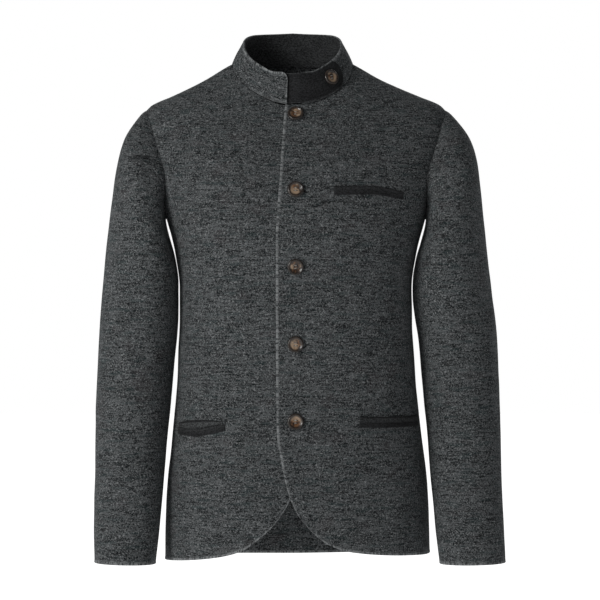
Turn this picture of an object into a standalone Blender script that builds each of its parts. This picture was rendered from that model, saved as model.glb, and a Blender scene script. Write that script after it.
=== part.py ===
"""A man's boiled wool folk jacket with a stand collar, in the hollow form that it has when worn.

Metres, +Z up, front towards -Y. The origin is the centre of the neck's base, level with the
points where the shoulder seams meet the collar. Each cut piece is one wall of cloth.
"""

import math
from collections import namedtuple
from functools import lru_cache

import bmesh
import bpy
import numpy as np
from mathutils import Matrix, Vector

# Cloth and seams
WALL = 0.0026
SEAM_GAP = 0.0003
SEAM_STEP = 0.00054
MOST_SEAM_TURN = math.radians(165)
OVERLAP_GAP = 0.0005
TUCK_WIDTH = 0.050
TUCK_REACH = 0.062
COLLAR_WALL = 0.0020
FACING_WALL = 0.0016
TAB_WALL = 0.0019
TAB_GAP = 0.0006
WELT_WALL = 0.0020

# Torso form
CHEST_LEVEL = -0.225
WAIST_LINE = -0.500
SQUARENESS = 2.4
SHOULDER_POINT = 0.2165
SHOULDER_SPREAD = 1.289
RIDGE_DEPTH = 0.004
CHEST_SLOPE = 0.12
FRONT_SLANT = 1.478
FRONT_SLANT_POWER = 1.1
ARCH_POWER = 2.05

# Neck hole, seen from above
NECK_HALF = 0.088
NECK_FRONT = 0.062
NECK_BACK = 0.058

# Share of the way up from the chest line over which the armhole's lower end curves
ARMHOLE_CURVE = 0.35
ARMHOLE_MIDDLE = -0.14

# Collar
COLLAR_TOP_HALF = 0.071
COLLAR_TOP_FRONT = 0.058
COLLAR_TOP_BACK = 0.052
COLLAR_BULGE = 0.0012
COLLAR_LEAVE_SHARE = 0.3
COLLAR_TURN_SHARE = 0.35
COLLAR_LEFT_END = -5.2
COLLAR_RIGHT_END = 9.0
COLLAR_CORNER_ANGLE = 7.0
COLLAR_CORNER_DROP = 0.24
COLLAR_CORNER_STEPS = (0.15, 0.4, 0.7, 1.0)
COLUMN_CLEARANCE = 1.5
FACING_LEFT_END = -18.0

# Tab that closes the collar
TAB_START = -16.5
TAB_INSIDE_UNTIL = -4.6
TAB_OUTSIDE_FROM = 8.4
TAB_END = 57.0
TAB_LOW = 0.03
TAB_HIGH = 0.97
TAB_ROUND_ANGLE = 9.0
TAB_ROUNDNESS = 2.4
TAB_END_WIDTH = 0.25
TAB_INSIDE_COLUMNS = 3
TAB_CROSSING_COLUMNS = 7
TAB_OUTSIDE_COLUMNS = 9
TAB_END_STEPS = (0, 0.35, 0.65, 0.85, 0.96, 1.0)
TAB_ROWS = 4

# Buttons
BUTTON_RADIUS = 0.0115
BUTTON_COUNT = 5
BUTTON_SIDES = 20
BUTTON_X = 0.0048
BUTTON_TOP = -0.077
BUTTON_PITCH = 0.1092
BUTTON_STAND = 0.0004
COLLAR_BUTTON_STAND = 0.0011
BUTTON_HOLE_RADIUS = 0.0011
BUTTON_HOLE_SPACING = 0.0038
BUTTON_HOLE_SIDES = 6
COLLAR_BUTTON_ANGLE = 41.0
COLLAR_BUTTON_SHARE = 0.52

# A button's turned outline from the middle of its back round to the middle of its face
Turn = namedtuple("Turn", "inset height")
BUTTON_PROFILE = (
    Turn(BUTTON_RADIUS, 0.0),
    Turn(0.0022, 0.0),
    Turn(0.0004, 0.0011),
    Turn(0.0, 0.0022),
    Turn(0.0007, 0.0036),
    Turn(0.0018, 0.0041),
    Turn(0.0030, 0.0036),
    Turn(0.0042, 0.0028),
    Turn(BUTTON_RADIUS, 0.0026),
)

# Mesh density
EDGE_TO_NECK = 7
CORNER_CROWDING = 1.25
NECK_TO_ARM = 7
HEM_ROWS = 6
SIDE_ROWS = 8
YOKE_ROWS = 12
YOKE_ROW_POWER = 1.5
COLLAR_ROWS = 4
SEARCH_STEPS = 36
NUDGE = 1e-4

Ring = namedtuple("Ring", "height half_width front back")
BODY_RINGS = (
    Ring(-0.725, 0.1920, 0.1310, 0.1340),
    Ring(-0.650, 0.1905, 0.1295, 0.1300),
    Ring(-0.603, 0.1880, 0.1280, 0.1255),
    Ring(-0.557, 0.1825, 0.1255, 0.1190),
    Ring(-0.510, 0.1775, 0.1220, 0.1110),
    Ring(-0.464, 0.1730, 0.1195, 0.1045),
    Ring(-0.418, 0.1705, 0.1185, 0.1005),
    Ring(-0.371, 0.1685, 0.1200, 0.1010),
    Ring(-0.325, 0.1680, 0.1245, 0.1065),
    Ring(-0.275, 0.1745, 0.1290, 0.1155),
    Ring(CHEST_LEVEL, 0.1870, 0.1265, 0.1205),
)
# Beyond the chest line the rings only set the slope that the body has there.
RINGS_WITH_SLOPE = BODY_RINGS + (Ring(CHEST_LEVEL + 0.05, 0.2015, 0.1227, 0.1200),)

Ridge = namedtuple("Ridge", "out height")
SHOULDER_RIDGE = (
    Ridge(0.000, 0.0300),
    Ridge(0.045, 0.0210),
    Ridge(0.088, 0.0000),
    Ridge(0.128, -0.0230),
    Ridge(0.1785, -0.0465),
    Ridge(0.2070, -0.0590),
    Ridge(SHOULDER_POINT, -0.0665),
)

Lean = namedtuple("Lean", "height shift")
BODY_LEAN = (
    Lean(-0.725, 0.0075),
    Lean(-0.510, 0.0065),
    Lean(-0.348, 0.0047),
    Lean(-0.060, 0.0050),
    Lean(0.000, 0.0000),
    Lean(0.060, 0.0000),
)

# Front edge of each front, as distance past the middle towards its own side.
Edge = namedtuple("Edge", "height out")
TOP_FRONT_EDGE = (
    Edge(-0.6550, 0.0150),
    Edge(-0.6447, 0.0077),
    Edge(-0.6207, -0.0035),
    Edge(-0.6024, -0.0092),
    Edge(-0.5670, -0.0162),
    Edge(-0.5278, -0.0218),
    Edge(-0.4500, -0.0228),
    Edge(-0.2575, -0.0232),
    Edge(-0.1670, -0.0177),
    Edge(-0.0630, -0.0105),
    Edge(-0.0450, -0.0079),
)
UNDER_FRONT_EDGE = (
    Edge(-0.6500, 0.0185),
    Edge(-0.6278, 0.0049),
    Edge(-0.6024, -0.0041),
    Edge(-0.5670, -0.0111),
    Edge(-0.5278, -0.0167),
    Edge(-0.4500, -0.0167),
    Edge(-0.0450, -0.0150),
)
Hem = namedtuple("Hem", "out height")
TOP_FRONT_HEM = (
    Hem(0.0150, -0.6550),
    Hem(0.0331, -0.6742),
    Hem(0.0528, -0.6883),
    Hem(0.0800, -0.6975),
    Hem(0.1300, -0.7033),
    Hem(0.1900, -0.7065),
)
UNDER_FRONT_HEM = (
    Hem(0.0185, -0.6500),
    Hem(0.0317, -0.6658),
    Hem(0.0528, -0.6840),
    Hem(0.0700, -0.6960),
    Hem(0.0964, -0.7045),
    Hem(0.1300, -0.7100),
    Hem(0.1900, -0.7165),
)
BACK_HEM = (
    Hem(-0.1900, -0.7150),
    Hem(-0.1000, -0.7180),
    Hem(0.0000, -0.7195),
    Hem(0.1000, -0.7160),
    Hem(0.2050, -0.7045),
)

CollarTop = namedtuple("CollarTop", "angle height")
COLLAR_TOP = (
    CollarTop(0, -0.0160),
    CollarTop(22, -0.0145),
    CollarTop(38, -0.0060),
    CollarTop(60, 0.0080),
    CollarTop(78, 0.0210),
    CollarTop(100, 0.0360),
    CollarTop(130, 0.0450),
    CollarTop(180, 0.0490),
)

# Sleeve sections: the point on the outer line, the point on the inner line, the middle's
# place front to back, and half the depth.
Section = namedtuple("Section", "out_x out_z in_x in_z middle half_depth")
SLEEVE_SECTIONS = (
    Section(SHOULDER_POINT, -0.0665, 0.1870, -0.2250, 0.001, 0.0670),
    Section(0.2235, -0.0725, 0.1885, -0.2330, 0.000, 0.0705),
    Section(0.2335, -0.0850, 0.1860, -0.2480, -0.003, 0.0730),
    Section(0.2475, -0.1080, 0.1795, -0.2660, -0.007, 0.0740),
    Section(0.2570, -0.1400, 0.1735, -0.2880, -0.011, 0.0730),
    Section(0.2640, -0.1800, 0.1700, -0.3120, -0.013, 0.0712),
    Section(0.2695, -0.2250, 0.1700, -0.3360, -0.013, 0.0690),
    Section(0.2760, -0.2800, 0.1715, -0.3640, -0.011, 0.0675),
    Section(0.2825, -0.3400, 0.1755, -0.3980, -0.008, 0.0655),
    Section(0.2880, -0.4000, 0.1785, -0.4330, -0.008, 0.0630),
    Section(0.2905, -0.4600, 0.1820, -0.4760, -0.013, 0.0605),
    Section(0.2920, -0.5250, 0.1865, -0.5290, -0.022, 0.0570),
    Section(0.2925, -0.5900, 0.1905, -0.5900, -0.034, 0.0530),
    Section(0.2925, -0.6550, 0.1955, -0.6530, -0.047, 0.0490),
    Section(0.2940, -0.7170, 0.2000, -0.7190, -0.060, 0.0455),
)
# How far towards +X each sleeve's outer and inner line hangs.
Drift = namedtuple("Drift", "height left_out left_in right_out right_in")
SLEEVE_DRIFT = (
    Drift(-0.720, 0.0110, 0.0110, 0.0110, 0.0045),
    Drift(-0.660, 0.0100, 0.0080, 0.0085, 0.0060),
    Drift(-0.600, 0.0085, 0.0080, 0.0080, 0.0065),
    Drift(-0.400, 0.0080, 0.0060, 0.0080, 0.0080),
    Drift(-0.330, 0.0065, 0.0040, 0.0060, 0.0050),
    Drift(-0.200, 0.0075, 0.0050, 0.0055, 0.0050),
    Drift(-0.130, 0.0095, 0.0050, 0.0040, 0.0050),
    Drift(-0.060, 0.0050, 0.0050, 0.0050, 0.0050),
)
SLEEVE_ROUNDNESS = 2.15
ARMHOLE_SHAPE_FADES = 5
SLEEVE_CLEARANCE = 0.0012

# Pocket welts: distance out from the middle, height of the strip's middle, its width.
Strip = namedtuple("Strip", "out middle width")
BREAST_WELT = (
    Strip(0.0586, -0.1874, 0.0125),
    Strip(0.1090, -0.1866, 0.0125),
    Strip(0.1580, -0.1937, 0.0115),
)
LOWER_WELT_TOP_SIDE = (
    Strip(0.0950, -0.5150, 0.0150),
    Strip(0.1400, -0.5155, 0.0155),
    Strip(0.1800, -0.5150, 0.0145),
)
LOWER_WELT_UNDER_SIDE = (
    Strip(0.0950, -0.5225, 0.0085),
    Strip(0.1150, -0.5265, 0.0110),
    Strip(0.1400, -0.5310, 0.0100),
    Strip(0.1630, -0.5290, 0.0105),
)
WELT_COLUMNS = 12
WELT_ROWS = 2
WELT_SEAT = 0.0006

GREY_WOOL = ((0.045, 0.049, 0.052), 0.95)
CHARCOAL_WOOL = ((0.011, 0.012, 0.013), 0.95)
HORN = ((0.085, 0.052, 0.033), 0.28)


def smooth(places, values, at):
    """Smooth curve through the values, with no overshoot, level beyond the two ends."""
    places = np.asarray(places, float)
    values = np.asarray(values, float)
    steps = np.diff(places)
    rates = np.diff(values) / steps
    product = rates[:-1] * rates[1:]
    total = rates[:-1] + rates[1:]
    inner = np.divide(2 * product, total, out=np.zeros_like(total), where=product > 0)
    slopes = np.concatenate((rates[:1], inner, rates[-1:]))
    at = np.clip(np.asarray(at, float), places[0], places[-1])
    span = np.clip(np.searchsorted(places, at) - 1, 0, len(steps) - 1)
    t = (at - places[span]) / steps[span]
    start = values[span] * (1 + 2 * t) * (1 - t) ** 2
    leave = slopes[span] * steps[span] * t * (1 - t) ** 2
    end = values[span + 1] * t * t * (3 - 2 * t)
    arrive = slopes[span + 1] * steps[span] * t * t * (t - 1)
    return start + leave + end + arrive


def read(table, place, value, at):
    """One column of a table against another, as a smooth curve."""
    return smooth([getattr(row, place) for row in table], [getattr(row, value) for row in table], at)


def ease(share):
    share = np.clip(share, 0, 1)
    return share * share * (3 - 2 * share)


def unit(vectors):
    return vectors / np.maximum(np.linalg.norm(vectors, axis=-1, keepdims=True), 1e-12)


def body_ring(side, height):
    """Half width and depth of the body at a height, on its front (-1) or back (1)."""
    depth = "front" if side < 0 else "back"
    width = read(RINGS_WITH_SLOPE, "height", "half_width", height)
    return width, read(RINGS_WITH_SLOPE, "height", depth, height)


def torso(side, across, level):
    """Point of the torso's outer surface.

    side is -1 on the front and 1 on the back. across runs from -1 to 1 between the side
    seams. level is a height up to the chest line, and above it the chest line's height plus
    a share, 0 to 1, of the way over to the shoulder ridge.
    """
    across, level = np.broadcast_arrays(np.asarray(across, float), np.asarray(level, float))
    height = np.minimum(level, CHEST_LEVEL)
    rise = np.sin(np.clip(level - CHEST_LEVEL, 0, 1) * math.pi / 2)
    half_width, depth = body_ring(side, height)
    angle = across * math.pi / 2
    wide = np.abs(np.sin(angle) / half_width) ** SQUARENESS
    deep = np.abs(np.cos(angle) / depth) ** SQUARENESS
    reach = (wide + deep) ** (-1 / SQUARENESS)
    x = reach * np.sin(angle)
    y = side * reach * np.cos(angle)
    arch = 1 - (1 - rise**ARCH_POWER) ** (1 / ARCH_POWER)
    if side < 0:
        share = ease(np.abs(across))
        slant = rise**2 * (FRONT_SLANT - (FRONT_SLANT - 1) * rise**FRONT_SLANT_POWER)
        arch = (1 - share) * slant + share * arch + CHEST_SLOPE * rise * (1 - rise) ** 2
    ridge_x = x * SHOULDER_SPREAD
    ridge_z = read(SHOULDER_RIDGE, "out", "height", np.abs(ridge_x))
    x = x + (ridge_x - x) * rise
    y = y + (RIDGE_DEPTH - y) * arch
    z = height + (ridge_z - CHEST_LEVEL) * rise
    return np.stack((x + read(BODY_LEAN, "height", "shift", z), y, z), axis=-1)


def torso_normal(side, across, level):
    """Unit normal of the torso's surface, pointing out of the body."""
    along = torso(side, across + NUDGE, level) - torso(side, across - NUDGE, level)
    lift = torso(side, across, level) - torso(side, across, level - NUDGE)
    return unit(side * np.cross(lift, along))


def search(function, low, high):
    """Where a rising function crosses zero, for arrays of limits."""
    low = np.array(low, float)
    high = np.array(high, float)
    for _ in range(SEARCH_STEPS):
        middle = (low + high) / 2
        below = function(middle) < 0
        low = np.where(below, middle, low)
        high = np.where(below, high, middle)
    return (low + high) / 2


def across_at(side, x, level):
    """The across value where the torso has this x at a level."""
    x, level = np.broadcast_arrays(np.asarray(x, float), np.asarray(level, float))
    ends = np.ones_like(x)
    return search(lambda across: torso(side, across, level)[..., 0] - x, -ends, ends)


def level_at(side, x, z):
    """The level where the torso has this x and z."""
    x, z = np.broadcast_arrays(np.asarray(x, float), np.asarray(z, float))

    def too_high(level):
        return torso(side, across_at(side, x, level), level)[..., 2] - z

    floor = np.full_like(z, CHEST_LEVEL)
    upper = search(too_high, floor, floor + 1)
    return np.where(z < CHEST_LEVEL, z, upper)


def front_place(x, z):
    """The across and level of a point of the front that is given by its x and z."""
    level = level_at(-1, x, z)
    return across_at(-1, x, level), level


@lru_cache
def armhole_cut(side):
    """How much across the armhole takes off a panel, so that it ends at the shoulder point."""
    shift = read(BODY_LEAN, "height", "shift", SHOULDER_RIDGE[-1].height)
    return 1 - float(across_at(side, SHOULDER_POINT + shift, CHEST_LEVEL + 1))


def armhole(side, level):
    """The across value at the armhole, or at the side seam below it."""
    share = np.clip(level - CHEST_LEVEL, 0, 1)
    opening = np.sqrt(np.sin(np.minimum(share / ARMHOLE_CURVE, 1) * math.pi / 2))
    return 1 - armhole_cut(side) * opening


def neck_distance(side, point):
    """Below zero outside the neck hole, above zero inside it, seen from above."""
    depth = NECK_FRONT if side < 0 else NECK_BACK
    x = point[..., 0] - read(BODY_LEAN, "height", "shift", point[..., 2])
    return 1 - (x / NECK_HALF) ** 2 - (point[..., 1] / depth) ** 2


def column_top(side, path, columns):
    """How far up each column goes: to the neck hole, or to the shoulder ridge."""

    def inside(rise):
        level = CHEST_LEVEL + rise
        return neck_distance(side, torso(side, path(columns, level), level))

    found = search(inside, np.full_like(columns, 0.2), np.ones_like(columns))
    return np.where(np.abs(columns) < 1, found, 1.0)


def neck_corner(side, mirror):
    """The across value, without its sign, where the shoulder ridge meets the neck hole."""

    def outside(across):
        level = CHEST_LEVEL + 1
        return -neck_distance(side, torso(side, mirror * across, level))

    return float(search(outside, 0.0, 1.0))


def column_list():
    """Columns of a panel: 0 is its edge or middle, 1 the neck's corner and 2 the armhole.

    Up to the corner they turn round the neck hole, and stand closer towards the corner.
    """
    left = 1 - np.arange(EDGE_TO_NECK) / EDGE_TO_NECK
    turn = (1 - left**CORNER_CROWDING) * math.pi / 2
    return np.concatenate((np.sin(turn), np.linspace(1, 2, NECK_TO_ARM + 1)))


def column_across(side, columns, start, corner, level):
    """Across values, without their sign, of columns at a level."""
    to_neck = start + (corner - start) * np.minimum(columns, 1)
    return to_neck + (armhole(side, level) - corner) * np.maximum(columns - 1, 0)


def yoke_rises():
    return (np.arange(1, YOKE_ROWS + 1) / YOKE_ROWS) ** YOKE_ROW_POWER


def front_grid(mirror, edge_table, hem_table):
    """Across and level values of a front. mirror is 1 on +X."""

    def edge_across(level):
        """The across value of the front edge, from its height at the middle of the body."""
        height = torso(-1, 0.0, level)[..., 2]
        return mirror * across_at(-1, mirror * read(edge_table, "height", "out", height), level)

    corner = neck_corner(-1, mirror)

    def path(columns, level):
        return mirror * column_across(-1, columns, edge_across(level), corner, level)

    columns = column_list()
    low_edge = edge_table[0].height
    hem_x = torso(-1, path(columns, low_edge), low_edge)[..., 0]
    hem = read(hem_table, "out", "height", np.abs(hem_x))
    across_rows = []
    level_rows = []
    for row in range(HEM_ROWS):
        climb = row / HEM_ROWS
        edge_level = low_edge + (WAIST_LINE - low_edge) * climb
        across_rows.append(path(columns, np.full_like(columns, edge_level)))
        level_rows.append(hem + (WAIST_LINE - hem) * climb)
    for height in np.linspace(WAIST_LINE, CHEST_LEVEL, SIDE_ROWS + 1):
        level = np.full_like(columns, height)
        across_rows.append(path(columns, level))
        level_rows.append(level)
    tops = column_top(-1, path, columns)
    for rise in yoke_rises():
        level = CHEST_LEVEL + rise * tops
        across_rows.append(path(columns, level))
        level_rows.append(level)
    return np.array(across_rows), np.array(level_rows)


def back_grid():
    """Across and level values of the back."""

    corner = neck_corner(1, 1)

    def path(columns, level):
        return np.sign(columns) * column_across(1, np.abs(columns), 0, corner, level)

    half = column_list()
    columns = np.concatenate((-half[:0:-1], half))
    hem_x = torso(1, path(columns, WAIST_LINE), WAIST_LINE)[..., 0]
    hem = read(BACK_HEM, "out", "height", hem_x)
    level_rows = [hem + (WAIST_LINE - hem) * row / HEM_ROWS for row in range(HEM_ROWS)]
    level_rows += [np.full_like(columns, z) for z in np.linspace(WAIST_LINE, CHEST_LEVEL, SIDE_ROWS + 1)]
    tops = column_top(1, path, columns)
    level_rows += [CHEST_LEVEL + rise * tops for rise in yoke_rises()]
    levels = np.array(level_rows)
    return path(columns, levels), levels


def tucked(points):
    """How far the under front is moved in, where the top front lies on it."""
    edge = read(TOP_FRONT_EDGE, "height", "out", points[..., 2])
    return (WALL + OVERLAP_GAP) * ease((points[..., 0] - edge + TUCK_REACH) / TUCK_WIDTH)


def panel_points(side, across, level, under):
    """Outer points and outward normals of a panel, with its half of the seam gap."""
    points = torso(side, across, level)
    normals = torso_normal(side, across, level)
    if under:
        points = points - normals * tucked(points)[..., None]
    points[..., 1] += side * SEAM_GAP / 2
    return points, normals


def grid_normals(points, closed):
    """Normals of a grid of points, from the points beside each."""
    if closed:
        along = np.roll(points, -1, axis=1) - np.roll(points, 1, axis=1)
    else:
        along = np.gradient(points, axis=1)
    up = np.gradient(points, axis=0)
    return unit(np.cross(along, up))


def seam_start(edge, out_of_panel, normal, next_row):
    """First row of a piece that is sewn to a panel's edge.

    Returns its outer points and the direction from them through the wall. The wall turns
    away from the panel, so that the two walls stay apart at every angle between them.
    """
    leave = unit(next_row - edge)
    turn = np.arctan2((leave * normal).sum(-1), (leave * out_of_panel).sum(-1))
    turn = np.clip(turn, 0, MOST_SEAM_TURN)[..., None]
    inward = np.sin(turn) * out_of_panel - np.cos(turn) * normal
    start = edge + SEAM_STEP * (out_of_panel + normal * np.sin(turn / 2))
    return start, inward


def add_material(name, finish):
    material = bpy.data.materials.get(name)
    if material is None:
        colour, roughness = finish
        material = bpy.data.materials.new(name)
        material.use_nodes = True
        shader = material.node_tree.nodes["Principled BSDF"]
        shader.inputs["Base Color"].default_value = (*colour, 1)
        shader.inputs["Roughness"].default_value = roughness
        shader.inputs["Metallic"].default_value = 0.0
    return material


def add_object(name, mesh, material, parent):
    mesh.shade_smooth()
    mesh.set_sharp_from_angle(angle=math.radians(45))
    piece = bpy.data.objects.new(name, mesh)
    if not mesh.materials:
        mesh.materials.append(material)
    bpy.context.collection.objects.link(piece)
    piece.parent = parent
    return piece


def wall(name, outer, inner, closed, material, parent):
    """A wall of cloth between two grids of points. A closed one joins its last column to its first."""
    rows, columns = outer.shape[:2]
    across = columns + 1 if closed else columns
    shell = bmesh.new()
    place = shell.verts.layers.int.new("place")
    bmesh.ops.create_grid(shell, x_segments=across - 1, y_segments=rows - 1, size=1.0)
    for vertex in shell.verts:
        column = round((vertex.co.x + 1) / 2 * (across - 1)) % columns
        row = round((vertex.co.y + 1) / 2 * (rows - 1))
        vertex[place] = row * columns + column
        vertex.co = Vector(outer[row, column])
    if closed:
        bmesh.ops.remove_doubles(shell, verts=shell.verts, dist=1e-7)
    grown = bmesh.ops.extrude_face_region(shell, geom=shell.faces[:], use_keep_orig=True)
    for part in grown["geom"]:
        if isinstance(part, bmesh.types.BMVert):
            row, column = divmod(part[place], columns)
            part.co = Vector(inner[row, column])
    bmesh.ops.recalc_face_normals(shell, faces=shell.faces)
    if shell.calc_volume(signed=True) < 0:
        bmesh.ops.reverse_faces(shell, faces=shell.faces)
    mesh = bpy.data.meshes.new(name)
    shell.to_mesh(mesh)
    shell.free()
    return add_object(name, mesh, material, parent)


def add_panel(name, side, grid, under, material, parent):
    """One body panel, from its across and level values. Returns its outer points and normals."""
    points, normals = panel_points(side, grid[0], grid[1], under)
    wall(name, points, points - normals * WALL, False, material, parent)
    return points, normals


def armhole_edge(panel, column):
    """A panel's points, normals and directions out of its edge, from underarm to shoulder."""
    points, normals = panel
    points = points[-YOKE_ROWS - 1 :, column]
    normals = normals[-YOKE_ROWS - 1 :, column]
    tangent = np.gradient(points, axis=0)
    out = unit(np.cross(normals, tangent))
    away = np.sign((out * (points - [0, 0, ARMHOLE_MIDDLE])).sum(-1))
    return points, normals, out * np.sign(np.median(away))


def armhole_loop(front, front_column, back, back_column):
    """The closed armhole, up its front and down its back."""
    ahead = armhole_edge(front, front_column)
    behind = armhole_edge(back, back_column)
    loop = []
    for first, second in zip(ahead, behind):
        joined = np.concatenate((first, second[::-1][1:-1]))
        joined[0] = (first[0] + second[0]) / 2
        joined[YOKE_ROWS] = (first[-1] + second[-1]) / 2
        loop.append(joined)
    points, normals, out = loop
    return points, unit(normals), unit(out)


def section_ring(section, mirror, turn):
    """Points of one sleeve section at angles from its outer line, through its front."""
    side = "left" if mirror > 0 else "right"
    out_drift = float(read(SLEEVE_DRIFT, "height", f"{side}_out", section.out_z))
    in_drift = float(read(SLEEVE_DRIFT, "height", f"{side}_in", section.in_z))
    outer = np.array((mirror * section.out_x + out_drift, 0, section.out_z))
    inner = np.array((mirror * section.in_x + in_drift, 0, section.in_z))
    middle = (outer + inner) / 2 + [0, section.middle, 0]
    half = (outer - inner) / 2
    reach = np.abs(np.cos(turn)) ** SLEEVE_ROUNDNESS + np.abs(np.sin(turn)) ** SLEEVE_ROUNDNESS
    reach = (reach ** (-1 / SLEEVE_ROUNDNESS))[..., None]
    forward = np.array((0, -section.half_depth, 0))
    return middle + reach * (np.cos(turn)[..., None] * half + np.sin(turn)[..., None] * forward)


def clear_of_body(points, mirror):
    """Moves sleeve points sideways until they are clear of the body's side."""
    x = mirror * (points[..., 0] - read(BODY_LEAN, "height", "shift", points[..., 2]))
    height = np.minimum(points[..., 2], CHEST_LEVEL)
    limits = []
    for side in (-1, 1):
        half_width, depth = body_ring(side, height)
        share = np.clip(1 - np.abs(points[..., 1] / depth) ** SQUARENESS, 0, 1)
        limits.append(half_width * share ** (1 / SQUARENESS))
    limit = np.where(points[..., 1] < 0, limits[0], limits[1]) + SLEEVE_CLEARANCE
    moved = points.copy()
    below = points[..., 2] < CHEST_LEVEL
    moved[..., 0] += mirror * np.where(below, np.maximum(limit - x, 0), 0)
    return moved


def sleeve_rings(loop, mirror):
    """All rings of a sleeve, from the armhole loop down to the cuff."""
    steps = np.linalg.norm(np.diff(np.concatenate((loop, loop[:1])), axis=0), axis=1)
    passed = np.concatenate(([0], np.cumsum(steps)[:-1])) / steps.sum()
    count = len(loop)
    top = passed[YOKE_ROWS]
    sewn = np.where(passed <= top, passed / top / 2, 0.5 + (passed - top) / (1 - top) / 2)
    even = np.arange(count) / count
    rings = []
    first = None
    for number, section in enumerate(SLEEVE_SECTIONS):
        settle = ease(number / ARMHOLE_SHAPE_FADES)
        share = sewn + (even - sewn) * settle
        ring = section_ring(section, mirror, math.pi - share * 2 * math.pi)
        if first is None:
            first = loop - ring
        rings.append(ring + first * (1 - settle))
    rings = np.array(rings)
    rings[1:] = clear_of_body(rings[1:], mirror)
    return rings


def add_sleeve(name, front, front_column, back, back_column, mirror, material, parent):
    loop, normals, out = armhole_loop(front, front_column, back, back_column)
    rings = sleeve_rings(loop, mirror)
    start, inward = seam_start(loop, out, normals, rings[1])
    rings[0] = start
    ring_normals = grid_normals(rings, True)
    centre = rings.mean(axis=1, keepdims=True)
    ring_normals *= np.sign(((rings - centre) * ring_normals).sum())
    through = -ring_normals
    through[0] = inward
    wall(name, rings, rings + through * WALL, True, material, parent)


def neck_line(panel, columns):
    """The neck edge of a panel: points, normals and the direction out of the panel."""
    points, normals = panel
    edge = points[-1, columns]
    normal = normals[-1, columns]
    below = points[-2, columns]
    tangent = np.gradient(edge, axis=0)
    out = unit(np.cross(normal, tangent))
    flip = np.sign(((edge - below) * out).sum(-1))[..., None]
    return edge, normal, out * flip


def neck_angle(points):
    """Angle round the neck in degrees: 0 in front, 90 towards +X, 180 behind."""
    depth = np.where(points[..., 1] < 0, NECK_FRONT, NECK_BACK)
    angle = np.degrees(np.arctan2(points[..., 0] / NECK_HALF, -points[..., 1] / depth))
    return angle


def whole_neck(front_left, front_right, back):
    """The neck edge all round, from the middle of the front by +X to the middle again.

    Returns angle, points, normals and directions out of the panels. Angles pass 180 behind
    and end near 360, which is the front's middle again, seen from -X.
    """
    left = neck_line(front_left, slice(0, EDGE_TO_NECK + 1))
    middle = front_columns() - 1
    behind = neck_line(back, slice(middle - EDGE_TO_NECK, middle + EDGE_TO_NECK + 1))
    right = neck_line(front_right, slice(0, EDGE_TO_NECK + 1))
    rows = []
    for ahead, aft, last in zip(left, behind, right):
        corner = (ahead[-1] + aft[-1]) / 2
        other = (last[-1] + aft[0]) / 2
        rows.append(np.concatenate((ahead[:-1], [corner], aft[::-1][1:-1], [other], last[::-1][1:])))
    points, normals, out = rows
    angle = neck_angle(points) % 360
    angle[: EDGE_TO_NECK] = neck_angle(points[: EDGE_TO_NECK])
    last = angle[-EDGE_TO_NECK - 1 :]
    angle[-EDGE_TO_NECK - 1 :] = np.where(last < 180, last + 360, last)
    return angle, points, unit(normals), unit(out)


def front_columns():
    return EDGE_TO_NECK + NECK_TO_ARM + 1


def collar_top_point(angle):
    """A point of the collar's top edge at an angle round the neck, in degrees."""
    turn = np.radians(angle)
    folded = np.degrees(np.arccos(np.clip(np.cos(turn), -1, 1)))
    depth = np.where(np.cos(turn) > 0, COLLAR_TOP_FRONT, COLLAR_TOP_BACK)
    x = COLLAR_TOP_HALF * np.sin(turn)
    y = -depth * np.cos(turn)
    return np.stack((x, y, read(COLLAR_TOP, "angle", "height", folded)), axis=-1)


def collar_surface(neck, angles, shares):
    """Outer points and outward directions of the collar's cloth.

    angles are in degrees round the neck and shares run from the seam, 0, to the top edge, 1.
    """
    at, points, normals, out = neck

    def spread(values):
        return np.stack([np.interp(angles, at, values[:, k]) for k in range(3)], axis=-1)

    edge = spread(points)
    normal = unit(spread(normals))
    outward = unit(spread(out))
    top = collar_top_point(angles)
    start, inward = seam_start(edge, outward, normal, edge + (top - edge) * COLLAR_LEAVE_SHARE)
    rise = np.asarray(shares, float)
    shape = start + (top - start) * rise[..., None]
    turn = np.radians(angles)
    depth = np.where(np.cos(turn) > 0, COLLAR_TOP_FRONT, COLLAR_TOP_BACK)
    level_out = unit(np.stack((depth * np.sin(turn), -COLLAR_TOP_HALF * np.cos(turn), 0 * turn), axis=-1))
    shape = shape + level_out * (COLLAR_BULGE * np.sin(math.pi * rise))[..., None]
    lean = unit(top - start)
    side = unit(level_out - lean * (level_out * lean).sum(-1, keepdims=True))
    blend = ease(rise / COLLAR_TURN_SHARE)[..., None]
    direction = unit(side * blend - inward * (1 - blend))
    return shape, direction


def collar_angles(neck, start, end):
    """The neck's own columns between two angles, with both ends."""
    at = neck[0]
    own = at[(at > start + COLUMN_CLEARANCE) & (at < end - COLUMN_CLEARANCE)]
    return np.concatenate(([start], own, [end]))


def collar_shares(angles, start, end, low, high):
    """Grid of shares up the collar, with the top corners rounded off at both ends."""
    near = np.minimum(angles - start, end - angles)
    corner = np.clip(1 - near / COLLAR_CORNER_ANGLE, 0, 1)
    top = high - COLLAR_CORNER_DROP * (1 - np.sqrt(1 - corner**2))
    steps = np.linspace(0, 1, COLLAR_ROWS + 1)[:, None]
    return low + (top - low) * steps


def densify(angles, start, end):
    """Adds columns at the two rounded corners."""
    left = [start + COLLAR_CORNER_ANGLE * share for share in COLLAR_CORNER_STEPS]
    right = [end - COLLAR_CORNER_ANGLE * share for share in COLLAR_CORNER_STEPS]
    middle = angles[(angles > left[-1] + 1) & (angles < right[-1] - 1)]
    return np.concatenate(([start], left, middle, right[::-1], [end]))


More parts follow.
